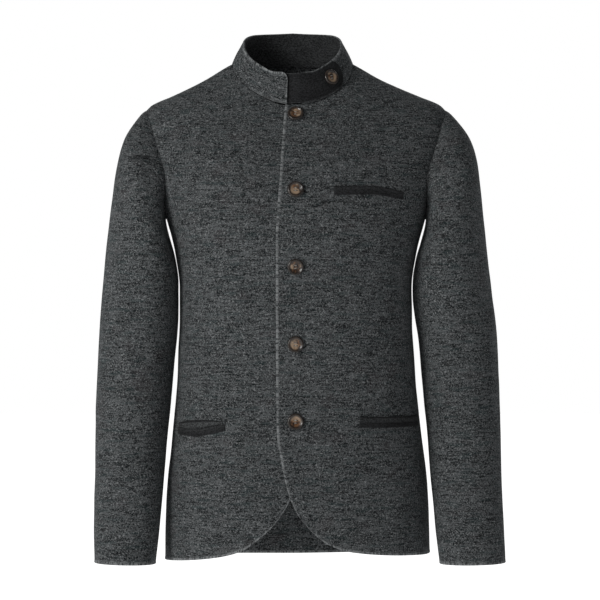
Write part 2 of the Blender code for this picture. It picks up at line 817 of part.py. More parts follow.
def add_collar(neck, wool, charcoal, parent):
    """The collar's outer band and its dark facing."""
    start = COLLAR_RIGHT_END
    for name, end, depth, thick, high, material in (
        ("collar", 360 + COLLAR_LEFT_END, 0.0, COLLAR_WALL, 1.0, wool),
        ("collar_facing", 360 + FACING_LEFT_END, COLLAR_WALL + OVERLAP_GAP, FACING_WALL, 0.985, charcoal),
    ):
        angles = densify(collar_angles(neck, start, end), start, end)
        shares = collar_shares(angles, start, end, 0.0, high)
        wide = np.broadcast_to(angles, shares.shape)
        points, outward = collar_surface(neck, wide, shares)
        outer = points - outward * depth
        wall(name, outer, outer - outward * thick, False, material, parent)


def tab_offset(angles):
    """Distance of the tab's inner side from the collar's outer side."""
    inside = -(COLLAR_WALL + TAB_GAP + TAB_WALL)
    outside = TAB_GAP
    share = ease((angles - TAB_INSIDE_UNTIL) / (TAB_OUTSIDE_FROM - TAB_INSIDE_UNTIL))
    return inside + (outside - inside) * share


def wrapped_neck(neck):
    """The neck's columns repeated below 0 degrees, so that the tab can cross the front's middle."""
    at = neck[0]
    before = (at > 180) & (at - 360 < at[0] - 1)
    after = at < 180
    turns = [np.concatenate((at[before] - 360, at[after]))]
    return turns + [np.concatenate((values[before], values[after])) for values in neck[1:]]


def add_tab(neck, charcoal, parent):
    """The dark tab, from inside the collar's one end over its other end."""
    near = wrapped_neck(neck)
    angles = np.concatenate(
        (
            np.linspace(TAB_START, TAB_INSIDE_UNTIL, TAB_INSIDE_COLUMNS, endpoint=False),
            np.linspace(TAB_INSIDE_UNTIL, TAB_OUTSIDE_FROM, TAB_CROSSING_COLUMNS, endpoint=False),
            np.linspace(TAB_OUTSIDE_FROM, TAB_END - TAB_ROUND_ANGLE, TAB_OUTSIDE_COLUMNS, endpoint=False),
            TAB_END - TAB_ROUND_ANGLE * (1 - np.array(TAB_END_STEPS)),
        )
    )
    past = np.clip(1 - (TAB_END - angles) / TAB_ROUND_ANGLE, 0, 1)
    round_off = np.sqrt(1 - past**TAB_ROUNDNESS)
    half = (TAB_HIGH - TAB_LOW) / 2 * (TAB_END_WIDTH + (1 - TAB_END_WIDTH) * round_off)
    middle = (TAB_HIGH + TAB_LOW) / 2
    steps = np.linspace(-1, 1, TAB_ROWS + 1)[:, None]
    shares = middle + steps * half
    wide = np.broadcast_to(angles, shares.shape)
    points, outward = collar_surface(near, wide, shares)
    inner = points + outward * tab_offset(wide)[..., None]
    wall("collar_tab", inner + outward * TAB_WALL, inner, False, charcoal, parent)
    return near


def add_welt(name, strip, mirror, material, parent):
    """A pocket's dark strip, from its panel's points moved out."""
    out = np.linspace(strip[0].out, strip[-1].out, WELT_COLUMNS + 1)
    middle = read(strip, "out", "middle", out)
    half = read(strip, "out", "width", out) / 2
    steps = np.linspace(-1, 1, WELT_ROWS + 1)[:, None]
    height = middle + steps * half
    x = np.broadcast_to(mirror * out, height.shape)
    across, level = front_place(x, height)
    points, normals = panel_points(-1, across, level, False)
    inner = points + normals * WELT_SEAT
    wall(name, inner + normals * WELT_WALL, inner, False, material, parent)


def button_mesh(material):
    """One turned button with a raised rim, a dished middle and four holes."""
    turned = bmesh.new()
    points = [turned.verts.new((BUTTON_RADIUS - turn.inset, 0, turn.height)) for turn in BUTTON_PROFILE]
    edges = [turned.edges.new(pair) for pair in zip(points, points[1:])]
    bmesh.ops.spin(
        turned, geom=points + edges, axis=(0, 0, 1), cent=(0, 0, 0),
        steps=BUTTON_SIDES, angle=2 * math.pi, use_merge=True,
    )
    bmesh.ops.remove_doubles(turned, verts=turned.verts, dist=1e-6)
    bmesh.ops.recalc_face_normals(turned, faces=turned.faces)
    blank_mesh = bpy.data.meshes.new("button_blank")
    turned.to_mesh(blank_mesh)
    turned.free()
    holes = bmesh.new()
    for x in (-1, 1):
        for y in (-1, 1):
            middle = Vector((x, y, 0)) * BUTTON_HOLE_SPACING / 2
            bmesh.ops.create_cone(
                holes, cap_ends=True, segments=BUTTON_HOLE_SIDES, radius1=BUTTON_HOLE_RADIUS,
                radius2=BUTTON_HOLE_RADIUS, depth=BUTTON_RADIUS, matrix=Matrix.Translation(middle),
            )
    hole_mesh = bpy.data.meshes.new("button_holes")
    holes.to_mesh(hole_mesh)
    holes.free()
    blank = bpy.data.objects.new("button_blank", blank_mesh)
    cutter = bpy.data.objects.new("button_cutter", hole_mesh)
    cutter.hide_render = True
    cutter.display_type = "WIRE"
    for piece in (blank, cutter):
        bpy.context.collection.objects.link(piece)
    cut = blank.modifiers.new("holes", "BOOLEAN")
    cut.object = cutter
    cut.operation = "DIFFERENCE"
    graph = bpy.context.evaluated_depsgraph_get()
    mesh = bpy.data.meshes.new_from_object(blank.evaluated_get(graph))
    mesh.name = "button"
    mesh.materials.clear()
    mesh.materials.append(material)
    for piece in (blank, cutter):
        bpy.data.objects.remove(piece)
    return mesh


def place_button(name, mesh, point, outward, material, parent):
    """Sets a button on the cloth, its holes level with the hem."""
    piece = add_object(name, mesh, material, parent)
    z = Vector(outward).normalized()
    x = Vector((0, 0, 1)).cross(z).normalized()
    frame = Matrix((x, z.cross(x), z)).transposed().to_4x4()
    piece.matrix_world = Matrix.Translation(Vector(point)) @ frame


def main():
    for old in list(bpy.data.objects):
        bpy.data.objects.remove(old)
    jacket = bpy.data.objects.new("jacket", None)
    bpy.context.collection.objects.link(jacket)
    wool = add_material("grey_wool", GREY_WOOL)
    charcoal = add_material("charcoal_wool", CHARCOAL_WOOL)
    horn = add_material("horn", HORN)

    back = add_panel("back", 1, back_grid(), False, wool, jacket)
    top_grid = front_grid(1, TOP_FRONT_EDGE, TOP_FRONT_HEM)
    under_grid = front_grid(-1, UNDER_FRONT_EDGE, UNDER_FRONT_HEM)
    front_left = add_panel("front_left", -1, top_grid, False, wool, jacket)
    front_right = add_panel("front_right", -1, under_grid, True, wool, jacket)
    add_sleeve("sleeve_left", front_left, -1, back, -1, 1, wool, jacket)
    add_sleeve("sleeve_right", front_right, -1, back, 0, -1, wool, jacket)

    smooth_right = panel_points(-1, under_grid[0], under_grid[1], False)
    neck = whole_neck(front_left, smooth_right, back)
    add_collar(neck, wool, charcoal, jacket)
    near = add_tab(neck, charcoal, jacket)

    add_welt("welt_breast", BREAST_WELT, 1, charcoal, jacket)
    add_welt("welt_left", LOWER_WELT_TOP_SIDE, 1, charcoal, jacket)
    add_welt("welt_right", LOWER_WELT_UNDER_SIDE, -1, charcoal, jacket)

    mesh = button_mesh(horn)
    for number in range(BUTTON_COUNT):
        height = BUTTON_TOP - BUTTON_PITCH * number
        across, level = front_place(BUTTON_X, height)
        point, normal = panel_points(-1, across, level, False)
        name = f"button_{number + 1}"
        place_button(name, mesh, point + normal * BUTTON_STAND, normal, horn, jacket)
    point, outward = collar_surface(near, np.array(COLLAR_BUTTON_ANGLE), np.array(COLLAR_BUTTON_SHARE))
    stand = TAB_GAP + TAB_WALL + COLLAR_BUTTON_STAND
    place_button("button_collar", mesh, point + outward * stand, outward, horn, jacket)


main()
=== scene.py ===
"""The looks of a boiled wool folk jacket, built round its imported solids.

Metres, +Z up, front towards -Y. The cloth repeats the solids' own form in finer steps, with
folds, rolled edges and dipped seams.
"""

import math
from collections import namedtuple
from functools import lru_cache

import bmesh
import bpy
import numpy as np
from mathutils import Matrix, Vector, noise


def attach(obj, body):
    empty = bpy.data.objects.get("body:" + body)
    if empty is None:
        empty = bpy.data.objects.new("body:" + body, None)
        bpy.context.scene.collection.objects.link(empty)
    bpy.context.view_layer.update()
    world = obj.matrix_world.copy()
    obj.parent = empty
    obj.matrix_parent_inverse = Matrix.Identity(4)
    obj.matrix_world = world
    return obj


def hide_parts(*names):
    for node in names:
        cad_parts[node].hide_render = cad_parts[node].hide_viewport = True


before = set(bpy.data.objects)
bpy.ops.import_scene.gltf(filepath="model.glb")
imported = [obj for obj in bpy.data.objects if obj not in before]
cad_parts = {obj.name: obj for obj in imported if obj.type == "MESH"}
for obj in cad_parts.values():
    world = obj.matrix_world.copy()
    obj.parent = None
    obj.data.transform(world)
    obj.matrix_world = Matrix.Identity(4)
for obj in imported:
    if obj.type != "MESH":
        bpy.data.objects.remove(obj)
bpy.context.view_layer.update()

bl_info = {
    "name": "Boiled Wool Folk Jacket",
    "version": (1, 0, 0),
    "blender": (4, 5, 0),
    "location": "View3D > Sidebar > Jacket",
    "description": "Dresses the jacket's solids in heathered boiled wool with horn buttons",
    "category": "Add Mesh",
}

# Cloth and seams
WALL = 0.0026
SEAM_GAP = 0.00002
SEAM_STEP = 0.00054
MOST_SEAM_TURN = math.radians(165)
OVERLAP_GAP = 0.0005
TUCK_WIDTH = 0.050
TUCK_REACH = 0.062
COLLAR_WALL = 0.0020
FACING_WALL = 0.0016
TAB_WALL = 0.0019
TAB_GAP = 0.0006
# A point counts as on a free edge when it is nearer to the edge than this
RIM_TOLERANCE = 1e-9
CLOTH_MERGE = 1e-7
SHORTEST_VECTOR = 1e-12

# Torso form
CHEST_LEVEL = -0.225
WAIST_LINE = -0.500
SQUARENESS = 2.4
SHOULDER_POINT = 0.2165
SHOULDER_SPREAD = 1.289
RIDGE_DEPTH = 0.004
CHEST_SLOPE = 0.12
FRONT_SLANT = 1.478
FRONT_SLANT_POWER = 1.1
ARCH_POWER = 2.05

# Neck hole, seen from above
NECK_HALF = 0.088
NECK_FRONT = 0.062
NECK_BACK = 0.058

# Share of the way up from the chest line over which the armhole's lower end curves
ARMHOLE_CURVE = 0.35
ARMHOLE_MIDDLE = -0.14

# Collar
COLLAR_TOP_HALF = 0.071
COLLAR_TOP_FRONT = 0.058
COLLAR_TOP_BACK = 0.052
COLLAR_BULGE = 0.0012
COLLAR_LEAVE_SHARE = 0.3
COLLAR_TURN_SHARE = 0.35
COLLAR_LEFT_END = -5.2
COLLAR_RIGHT_END = 9.0
COLLAR_CORNER_ANGLE = 7.0
COLLAR_CORNER_DROP = 0.24
COLLAR_CORNER_STEPS = (0.04, 0.09, 0.16, 0.25, 0.35, 0.47, 0.6, 0.73, 0.87, 1.0)
FACING_LEFT_END = -18.0

# Tab that closes the collar
TAB_START = -16.5
TAB_INSIDE_UNTIL = -4.6
TAB_OUTSIDE_FROM = 8.4
TAB_END = 57.0
TAB_LOW = 0.03
TAB_HIGH = 0.97
TAB_ROUND_ANGLE = 9.0
TAB_ROUNDNESS = 2.4
TAB_END_WIDTH = 0.25
TAB_INSIDE_COLUMNS = 12
TAB_CROSSING_COLUMNS = 26
TAB_OUTSIDE_COLUMNS = 44
TAB_END_STEPS = (0, 0.15, 0.3, 0.45, 0.6, 0.72, 0.82, 0.9, 0.95, 0.985, 1.0)
TAB_ROWS = 26

# Buttons
BUTTON_RADIUS = 0.0115
BUTTON_COUNT = 5
BUTTON_SIDES = 56
BUTTON_X = 0.0048
BUTTON_TOP = -0.077
BUTTON_PITCH = 0.1092
BUTTON_STAND = 0.0004
COLLAR_BUTTON_STAND = 0.0011
BUTTON_HOLE_RADIUS = 0.0011
BUTTON_HOLE_SPACING = 0.0038
BUTTON_HOLE_SIDES = 12
BUTTON_FACE = 0.0026
BUTTON_PROFILE_STEPS = 4
BUTTON_MERGE = 1e-6
COLLAR_BUTTON_ANGLE = 41.0
COLLAR_BUTTON_SHARE = 0.52

# A button's turned outline from the middle of its back round to the middle of its face
Turn = namedtuple("Turn", "inset height")
BUTTON_PROFILE = (
    Turn(BUTTON_RADIUS, 0.0),
    Turn(0.0022, 0.0),
    Turn(0.0004, 0.0011),
    Turn(0.0, 0.0022),
    Turn(0.0007, 0.0036),
    Turn(0.0018, 0.0041),
    Turn(0.0030, 0.0036),
    Turn(0.0042, 0.0028),
    Turn(BUTTON_RADIUS, BUTTON_FACE),
)

# Mesh density
EDGE_COLUMN_STEPS = (0, 0.15, 0.3, 0.5, 0.75, 1.0, 1.5)
EDGE_COLUMN_COUNT = 30
ARM_COLUMN_COUNT = 30
ARM_COLUMN_STEPS = (0.975, 0.987, 0.995, 1.0)
HEM_ROW_STEPS = (0, 0.006, 0.012, 0.02, 0.032, 0.05)
HEM_ROW_START = 0.075
HEM_ROW_COUNT = 22
SIDE_ROWS = 52
YOKE_ROWS = 44
YOKE_ROW_POWER = 1.3
COLLAR_ROWS = 20
RINGS_PER_SECTION = 12
CUFF_RING_STEPS = (13.9, 13.95, 13.98, 14.0)
SEARCH_STEPS = 34
NUDGE = 1e-4
# The neck's edge lies past this share of the way from the chest line to the shoulder ridge
NECK_SEARCH_START = 0.2
# Least angles in degrees between a collar's own columns and its end, corner or wrapped columns
COLUMN_CLEARANCE = 0.3
CORNER_CLEARANCE = 1.0

EDGE_COLUMNS = np.concatenate((EDGE_COLUMN_STEPS, np.arange(2, EDGE_COLUMN_COUNT + 1))) / EDGE_COLUMN_COUNT
ARM_COLUMNS = np.concatenate((np.arange(1, ARM_COLUMN_COUNT) / ARM_COLUMN_COUNT, ARM_COLUMN_STEPS))
HEM_ROWS = np.concatenate((HEM_ROW_STEPS, np.linspace(HEM_ROW_START, 1, HEM_ROW_COUNT)[:-1]))
EDGE_TO_NECK = len(EDGE_COLUMNS) - 1
NECK_TO_ARM = len(ARM_COLUMNS)

Ring = namedtuple("Ring", "height half_width front back")
BODY_RINGS = (
    Ring(-0.725, 0.1920, 0.1310, 0.1340),
    Ring(-0.650, 0.1905, 0.1295, 0.1300),
    Ring(-0.603, 0.1880, 0.1280, 0.1255),
    Ring(-0.557, 0.1825, 0.1255, 0.1190),
    Ring(-0.510, 0.1775, 0.1220, 0.1110),
    Ring(-0.464, 0.1730, 0.1195, 0.1045),
    Ring(-0.418, 0.1705, 0.1185, 0.1005),
    Ring(-0.371, 0.1685, 0.1200, 0.1010),
    Ring(-0.325, 0.1680, 0.1245, 0.1065),
    Ring(-0.275, 0.1745, 0.1290, 0.1155),
    Ring(CHEST_LEVEL, 0.1870, 0.1265, 0.1205),
)
# Beyond the chest line the rings only set the slope that the body has there.
RINGS_WITH_SLOPE = BODY_RINGS + (Ring(CHEST_LEVEL + 0.05, 0.2015, 0.1227, 0.1200),)

Ridge = namedtuple("Ridge", "out height")
SHOULDER_RIDGE = (
    Ridge(0.000, 0.0300),
    Ridge(0.045, 0.0210),
    Ridge(0.088, 0.0000),
    Ridge(0.128, -0.0230),
    Ridge(0.1785, -0.0465),
    Ridge(0.2070, -0.0590),
    Ridge(SHOULDER_POINT, -0.0665),
)

Lean = namedtuple("Lean", "height shift")
BODY_LEAN = (
    Lean(-0.725, 0.0075),
    Lean(-0.510, 0.0065),
    Lean(-0.348, 0.0047),
    Lean(-0.060, 0.0050),
    Lean(0.000, 0.0000),
    Lean(0.060, 0.0000),
)

# Front edge of each front, as distance past the middle towards its own side.
Edge = namedtuple("Edge", "height out")
TOP_FRONT_EDGE = (
    Edge(-0.6550, 0.0150),
    Edge(-0.6447, 0.0077),
    Edge(-0.6207, -0.0035),
    Edge(-0.6024, -0.0092),
    Edge(-0.5670, -0.0162),
    Edge(-0.5278, -0.0218),
    Edge(-0.4500, -0.0228),
    Edge(-0.2575, -0.0232),
    Edge(-0.1670, -0.0177),
    Edge(-0.0630, -0.0105),
    Edge(-0.0450, -0.0079),
)
UNDER_FRONT_EDGE = (
    Edge(-0.6500, 0.0185),
    Edge(-0.6278, 0.0049),
    Edge(-0.6024, -0.0041),
    Edge(-0.5670, -0.0111),
    Edge(-0.5278, -0.0167),
    Edge(-0.4500, -0.0167),
    Edge(-0.0450, -0.0150),
)
Hem = namedtuple("Hem", "out height")
TOP_FRONT_HEM = (
    Hem(0.0150, -0.6550),
    Hem(0.0331, -0.6742),
    Hem(0.0528, -0.6883),
    Hem(0.0800, -0.6975),
    Hem(0.1300, -0.7033),
    Hem(0.1900, -0.7065),
)
UNDER_FRONT_HEM = (
    Hem(0.0185, -0.6500),
    Hem(0.0317, -0.6658),
    Hem(0.0528, -0.6840),
    Hem(0.0700, -0.6960),
    Hem(0.0964, -0.7045),
    Hem(0.1300, -0.7100),
    Hem(0.1900, -0.7165),
)
BACK_HEM = (
    Hem(-0.1900, -0.7150),
    Hem(-0.1000, -0.7180),
    Hem(0.0000, -0.7195),
    Hem(0.1000, -0.7160),
    Hem(0.2050, -0.7045),
)

CollarTop = namedtuple("CollarTop", "angle height")
COLLAR_TOP = (
    CollarTop(0, -0.0160),
    CollarTop(22, -0.0145),
    CollarTop(38, -0.0060),
    CollarTop(60, 0.0080),
    CollarTop(78, 0.0210),
    CollarTop(100, 0.0360),
    CollarTop(130, 0.0450),
    CollarTop(180, 0.0490),
)

# Sleeve sections: the point on the outer line, the point on the inner line, the middle's
# place front to back, and half the depth.
Section = namedtuple("Section", "out_x out_z in_x in_z middle half_depth")
SLEEVE_SECTIONS = (
    Section(SHOULDER_POINT, -0.0665, 0.1870, -0.2250, 0.001, 0.0670),
    Section(0.2235, -0.0725, 0.1885, -0.2330, 0.000, 0.0705),
    Section(0.2335, -0.0850, 0.1860, -0.2480, -0.003, 0.0730),
    Section(0.2475, -0.1080, 0.1795, -0.2660, -0.007, 0.0740),
    Section(0.2570, -0.1400, 0.1735, -0.2880, -0.011, 0.0730),
    Section(0.2640, -0.1800, 0.1700, -0.3120, -0.013, 0.0712),
    Section(0.2695, -0.2250, 0.1700, -0.3360, -0.013, 0.0690),
    Section(0.2760, -0.2800, 0.1715, -0.3640, -0.011, 0.0675),
    Section(0.2825, -0.3400, 0.1755, -0.3980, -0.008, 0.0655),
    Section(0.2880, -0.4000, 0.1785, -0.4330, -0.008, 0.0630),
    Section(0.2905, -0.4600, 0.1820, -0.4760, -0.013, 0.0605),
    Section(0.2920, -0.5250, 0.1865, -0.5290, -0.022, 0.0570),
    Section(0.2925, -0.5900, 0.1905, -0.5900, -0.034, 0.0530),
    Section(0.2925, -0.6550, 0.1955, -0.6530, -0.047, 0.0490),
    Section(0.2940, -0.7170, 0.2000, -0.7190, -0.060, 0.0455),
)
# How far towards +X each sleeve's outer and inner line hangs.
Drift = namedtuple("Drift", "height left_out left_in right_out right_in")
SLEEVE_DRIFT = (
    Drift(-0.720, 0.0110, 0.0110, 0.0110, 0.0045),
    Drift(-0.660, 0.0100, 0.0080, 0.0085, 0.0060),
    Drift(-0.600, 0.0085, 0.0080, 0.0080, 0.0065),
    Drift(-0.400, 0.0080, 0.0060, 0.0080, 0.0080),
    Drift(-0.330, 0.0065, 0.0040, 0.0060, 0.0050),
    Drift(-0.200, 0.0075, 0.0050, 0.0055, 0.0050),
    Drift(-0.130, 0.0095, 0.0050, 0.0040, 0.0050),
    Drift(-0.060, 0.0050, 0.0050, 0.0050, 0.0050),
)
SLEEVE_ROUNDNESS = 2.15
ARMHOLE_SHAPE_FADES = 5
SLEEVE_CLEARANCE = 0.0012

# Pocket welts: distance out from the middle, height of the strip's middle, its width.
Strip = namedtuple("Strip", "out middle width")
BREAST_WELT = (
    Strip(0.0586, -0.1874, 0.0125),
    Strip(0.1090, -0.1866, 0.0125),
    Strip(0.1580, -0.1937, 0.0115),
)
LOWER_WELT_TOP_SIDE = (
    Strip(0.0950, -0.5150, 0.0150),
    Strip(0.1400, -0.5155, 0.0155),
    Strip(0.1800, -0.5150, 0.0145),
)
LOWER_WELT_UNDER_SIDE = (
    Strip(0.0950, -0.5225, 0.0085),
    Strip(0.1150, -0.5265, 0.0110),
    Strip(0.1400, -0.5310, 0.0100),
    Strip(0.1630, -0.5290, 0.0105),
)

# Where the wool's pattern starts on each kind of piece, so that one kind doesn't repeat another
SLEEVE_MAP_START = 2
COLLAR_MAP_START = 5
TAB_MAP_START = 7
STRIP_MAP_START = 9
# The same for the dotted pale line along the free edges of one piece, partly a painted highlight
EDGE_STARTS = {"high": 1.3, "first": 2.1, "last": 3.7}

# Trim and thread
WELT_SEAT = 0.0006
COLLAR_SEAM_LINE = 0.0019
COLLAR_SEAM_PALE = 0.28
# Angles from the front over which the neck seam's pale line shows and then ends
PALE_SEAM_FULL = 35.0
PALE_SEAM_END = 55.0
SEAM_TURN_REACH = 0.004
# Share of the collar's height that its facing reaches below the neck seam, to cover it
FACING_BELOW_SEAM = 0.06
FACING_TOP = 0.985
FACING_WEAR = 0.45
TAB_STITCH_IN = 0.0028
TAB_STITCH_WIDTH = 0.0009
TAB_STITCH_DEPTH = 0.0005
STRIP_COLUMNS = 60
STRIP_ROWS = 22
STRIP_END_SHARE = 0.45
STRIP_END_REACH = 0.004
THREAD_RADIUS = 0.00032
THREAD_STRANDS = 2
# From one strand's middle to the next one's, in radii
THREAD_SPACING = 1.7
THREAD_SIDES = 8
THREAD_CUTS = 5
THREAD_LIFT = 0.0004
THREAD_SINK = 0.0011

# Each kind of strip: share of the way up it, and its thickness and pale share there. On the welts the pale
# share is a painted highlight on the top of the roll; on the pocket lip it is the lip's grey cloth.
PADDED_WELT = (
    (0.0, 0.0012, 0.0), (0.12, 0.0018, 0.0), (0.5, 0.0023, 0.10), (0.8, 0.0022, 0.28),
    (1.0, 0.0013, 0.0),
)
ROLLED_WELT = (
    (0.0, 0.0009, 0.0), (0.1, 0.0012, 0.0), (0.26, 0.0013, 0.0), (0.36, 0.0008, 0.0),
    (0.42, 0.0007, 0.0), (0.50, 0.0019, 0.15), (0.66, 0.0026, 0.45), (0.80, 0.0025, 0.60),
    (0.90, 0.0020, 0.0), (1.0, 0.0013, 0.0),
)
# The pocket lip's pale share is its grey cloth; its dark top is painted shadow under the pocket's mouth,
# and its bottom edge is darker too
LIP_PROFILE = (
    (0.0, 0.0005, 0.2), (0.12, 0.0009, 0.9), (0.45, 0.0015, 1.0), (0.66, 0.0014, 0.9),
    (0.76, 0.0007, 0.0), (0.9, 0.0009, 0.0), (1.0, 0.0006, 0.0),
)
POCKET_LIP = (
    Strip(0.0985, -0.5158, 0.0040),
    Strip(0.1150, -0.5165, 0.0079),
    Strip(0.1365, -0.5189, 0.0126),
    Strip(0.1500, -0.5198, 0.0105),
    Strip(0.1620, -0.5205, 0.0060),
)

# Stage
WHITE = (1, 1, 1, 1)
CAMERA_REACH = 100
FLOOR_SIDES = 96
FLOOR_COLOUR = (0.70, 0.70, 0.70, 1)
FLOOR_ROUGHNESS = 0.95
Lamp = namedtuple("Lamp", "name place size colour")
LAMPS = (
    Lamp("key", (-2.6, -2.3, 0.6), 1.4, (1.0, 0.99, 0.97)),
    Lamp("fill", (2.2, -2.4, 0.3), 1.8, (0.96, 0.98, 1.0)),
    Lamp("back", (0.6, 2.6, 1.5), 1.8, (1.0, 1.0, 1.0)),
)


def smooth(places, values, at):
    """Smooth curve through the values, with no overshoot, level beyond the two ends."""
    places = np.asarray(places, float)
    values = np.asarray(values, float)
    steps = np.diff(places)
    rates = np.diff(values) / steps
    product = rates[:-1] * rates[1:]
    total = rates[:-1] + rates[1:]
    inner = np.divide(2 * product, total, out=np.zeros_like(total), where=product > 0)
    slopes = np.concatenate((rates[:1], inner, rates[-1:]))
    at = np.clip(np.asarray(at, float), places[0], places[-1])
    span = np.clip(np.searchsorted(places, at) - 1, 0, len(steps) - 1)
    t = (at - places[span]) / steps[span]
    start = values[span] * (1 + 2 * t) * (1 - t) ** 2
    leave = slopes[span] * steps[span] * t * (1 - t) ** 2
    end = values[span + 1] * t * t * (3 - 2 * t)
    arrive = slopes[span + 1] * steps[span] * t * t * (t - 1)
    return start + leave + end + arrive


def read(table, place, value, at):
    """One column of a table against another, as a smooth curve."""
    return smooth([getattr(row, place) for row in table], [getattr(row, value) for row in table], at)


def ease(share):
    share = np.clip(share, 0, 1)
    return share * share * (3 - 2 * share)


def unit(vectors):
    return vectors / np.maximum(np.linalg.norm(vectors, axis=-1, keepdims=True), SHORTEST_VECTOR)


def body_ring(side, height):
    """Half width and depth of the body at a height, on its front (-1) or back (1)."""
    depth = "front" if side < 0 else "back"
    width = read(RINGS_WITH_SLOPE, "height", "half_width", height)
    return width, read(RINGS_WITH_SLOPE, "height", depth, height)


def torso(side, across, level):
    """Point of the torso's outer surface.

    side is -1 on the front and 1 on the back. across runs from -1 to 1 between the side
    seams. level is a height up to the chest line, and above it the chest line's height plus
    a share, 0 to 1, of the way over to the shoulder ridge.
    """
    across, level = np.broadcast_arrays(np.asarray(across, float), np.asarray(level, float))
    height = np.minimum(level, CHEST_LEVEL)
    rise = np.sin(np.clip(level - CHEST_LEVEL, 0, 1) * math.pi / 2)
    half_width, depth = body_ring(side, height)
    angle = across * math.pi / 2
    wide = np.abs(np.sin(angle) / half_width) ** SQUARENESS
    deep = np.abs(np.cos(angle) / depth) ** SQUARENESS
    reach = (wide + deep) ** (-1 / SQUARENESS)
    x = reach * np.sin(angle)
    y = side * reach * np.cos(angle)
    arch = 1 - (1 - rise**ARCH_POWER) ** (1 / ARCH_POWER)
    if side < 0:
        share = ease(np.abs(across))
        slant = rise**2 * (FRONT_SLANT - (FRONT_SLANT - 1) * rise**FRONT_SLANT_POWER)
        arch = (1 - share) * slant + share * arch + CHEST_SLOPE * rise * (1 - rise) ** 2
    ridge_x = x * SHOULDER_SPREAD
    ridge_z = read(SHOULDER_RIDGE, "out", "height", np.abs(ridge_x))
    x = x + (ridge_x - x) * rise
    y = y + (RIDGE_DEPTH - y) * arch
    z = height + (ridge_z - CHEST_LEVEL) * rise
    return np.stack((x + read(BODY_LEAN, "height", "shift", z), y, z), axis=-1)


def torso_normal(side, across, level):
    """Unit normal of the torso's surface, pointing out of the body."""
    along = torso(side, across + NUDGE, level) - torso(side, across - NUDGE, level)
    lift = torso(side, across, level) - torso(side, across, level - NUDGE)
    return unit(side * np.cross(lift, along))


def search(function, low, high):
    """Where a rising function crosses zero, for arrays of limits."""
    low = np.array(low, float)
    high = np.array(high, float)
    for _ in range(SEARCH_STEPS):
        middle = (low + high) / 2
        below = function(middle) < 0
        low = np.where(below, middle, low)
        high = np.where(below, high, middle)
    return (low + high) / 2


def across_at(side, x, level):
    """The across value where the torso has this x at a level."""
    x, level = np.broadcast_arrays(np.asarray(x, float), np.asarray(level, float))
    ends = np.ones_like(x)
    return search(lambda across: torso(side, across, level)[..., 0] - x, -ends, ends)


def level_at(side, x, z):
    """The level where the torso has this x and z."""
    x, z = np.broadcast_arrays(np.asarray(x, float), np.asarray(z, float))

    def too_high(level):
        return torso(side, across_at(side, x, level), level)[..., 2] - z

    floor = np.full_like(z, CHEST_LEVEL)
    upper = search(too_high, floor, floor + 1)
    return np.where(z < CHEST_LEVEL, z, upper)


def front_place(x, z):
    """The across and level of a point of the front that is given by its x and z."""
    level = level_at(-1, x, z)
    return across_at(-1, x, level), level


@lru_cache
def armhole_cut(side):
    """How much across the armhole takes off a panel, so that it ends at the shoulder point."""
    shift = read(BODY_LEAN, "height", "shift", SHOULDER_RIDGE[-1].height)
    return 1 - float(across_at(side, SHOULDER_POINT + shift, CHEST_LEVEL + 1))


def armhole(side, level):
    """The across value at the armhole, or at the side seam below it."""
    share = np.clip(level - CHEST_LEVEL, 0, 1)
    opening = np.sqrt(np.sin(np.minimum(share / ARMHOLE_CURVE, 1) * math.pi / 2))
    return 1 - armhole_cut(side) * opening


def neck_distance(side, point):
    """Below zero outside the neck hole, above zero inside it, seen from above."""
    depth = NECK_FRONT if side < 0 else NECK_BACK
    x = point[..., 0] - read(BODY_LEAN, "height", "shift", point[..., 2])
    return 1 - (x / NECK_HALF) ** 2 - (point[..., 1] / depth) ** 2


def column_top(side, path, columns):
    """How far up each column goes: to the neck hole, or to the shoulder ridge."""

    def inside(rise):
        level = CHEST_LEVEL + rise
        return neck_distance(side, torso(side, path(columns, level), level))

    found = search(inside, np.full_like(columns, NECK_SEARCH_START), np.ones_like(columns))
    return np.where(np.abs(columns) < 1, found, 1.0)


def neck_corner(side, mirror):
    """The across value, without its sign, where the shoulder ridge meets the neck hole."""

    def outside(across):
        level = CHEST_LEVEL + 1
        return -neck_distance(side, torso(side, mirror * across, level))

    return float(search(outside, 0.0, 1.0))
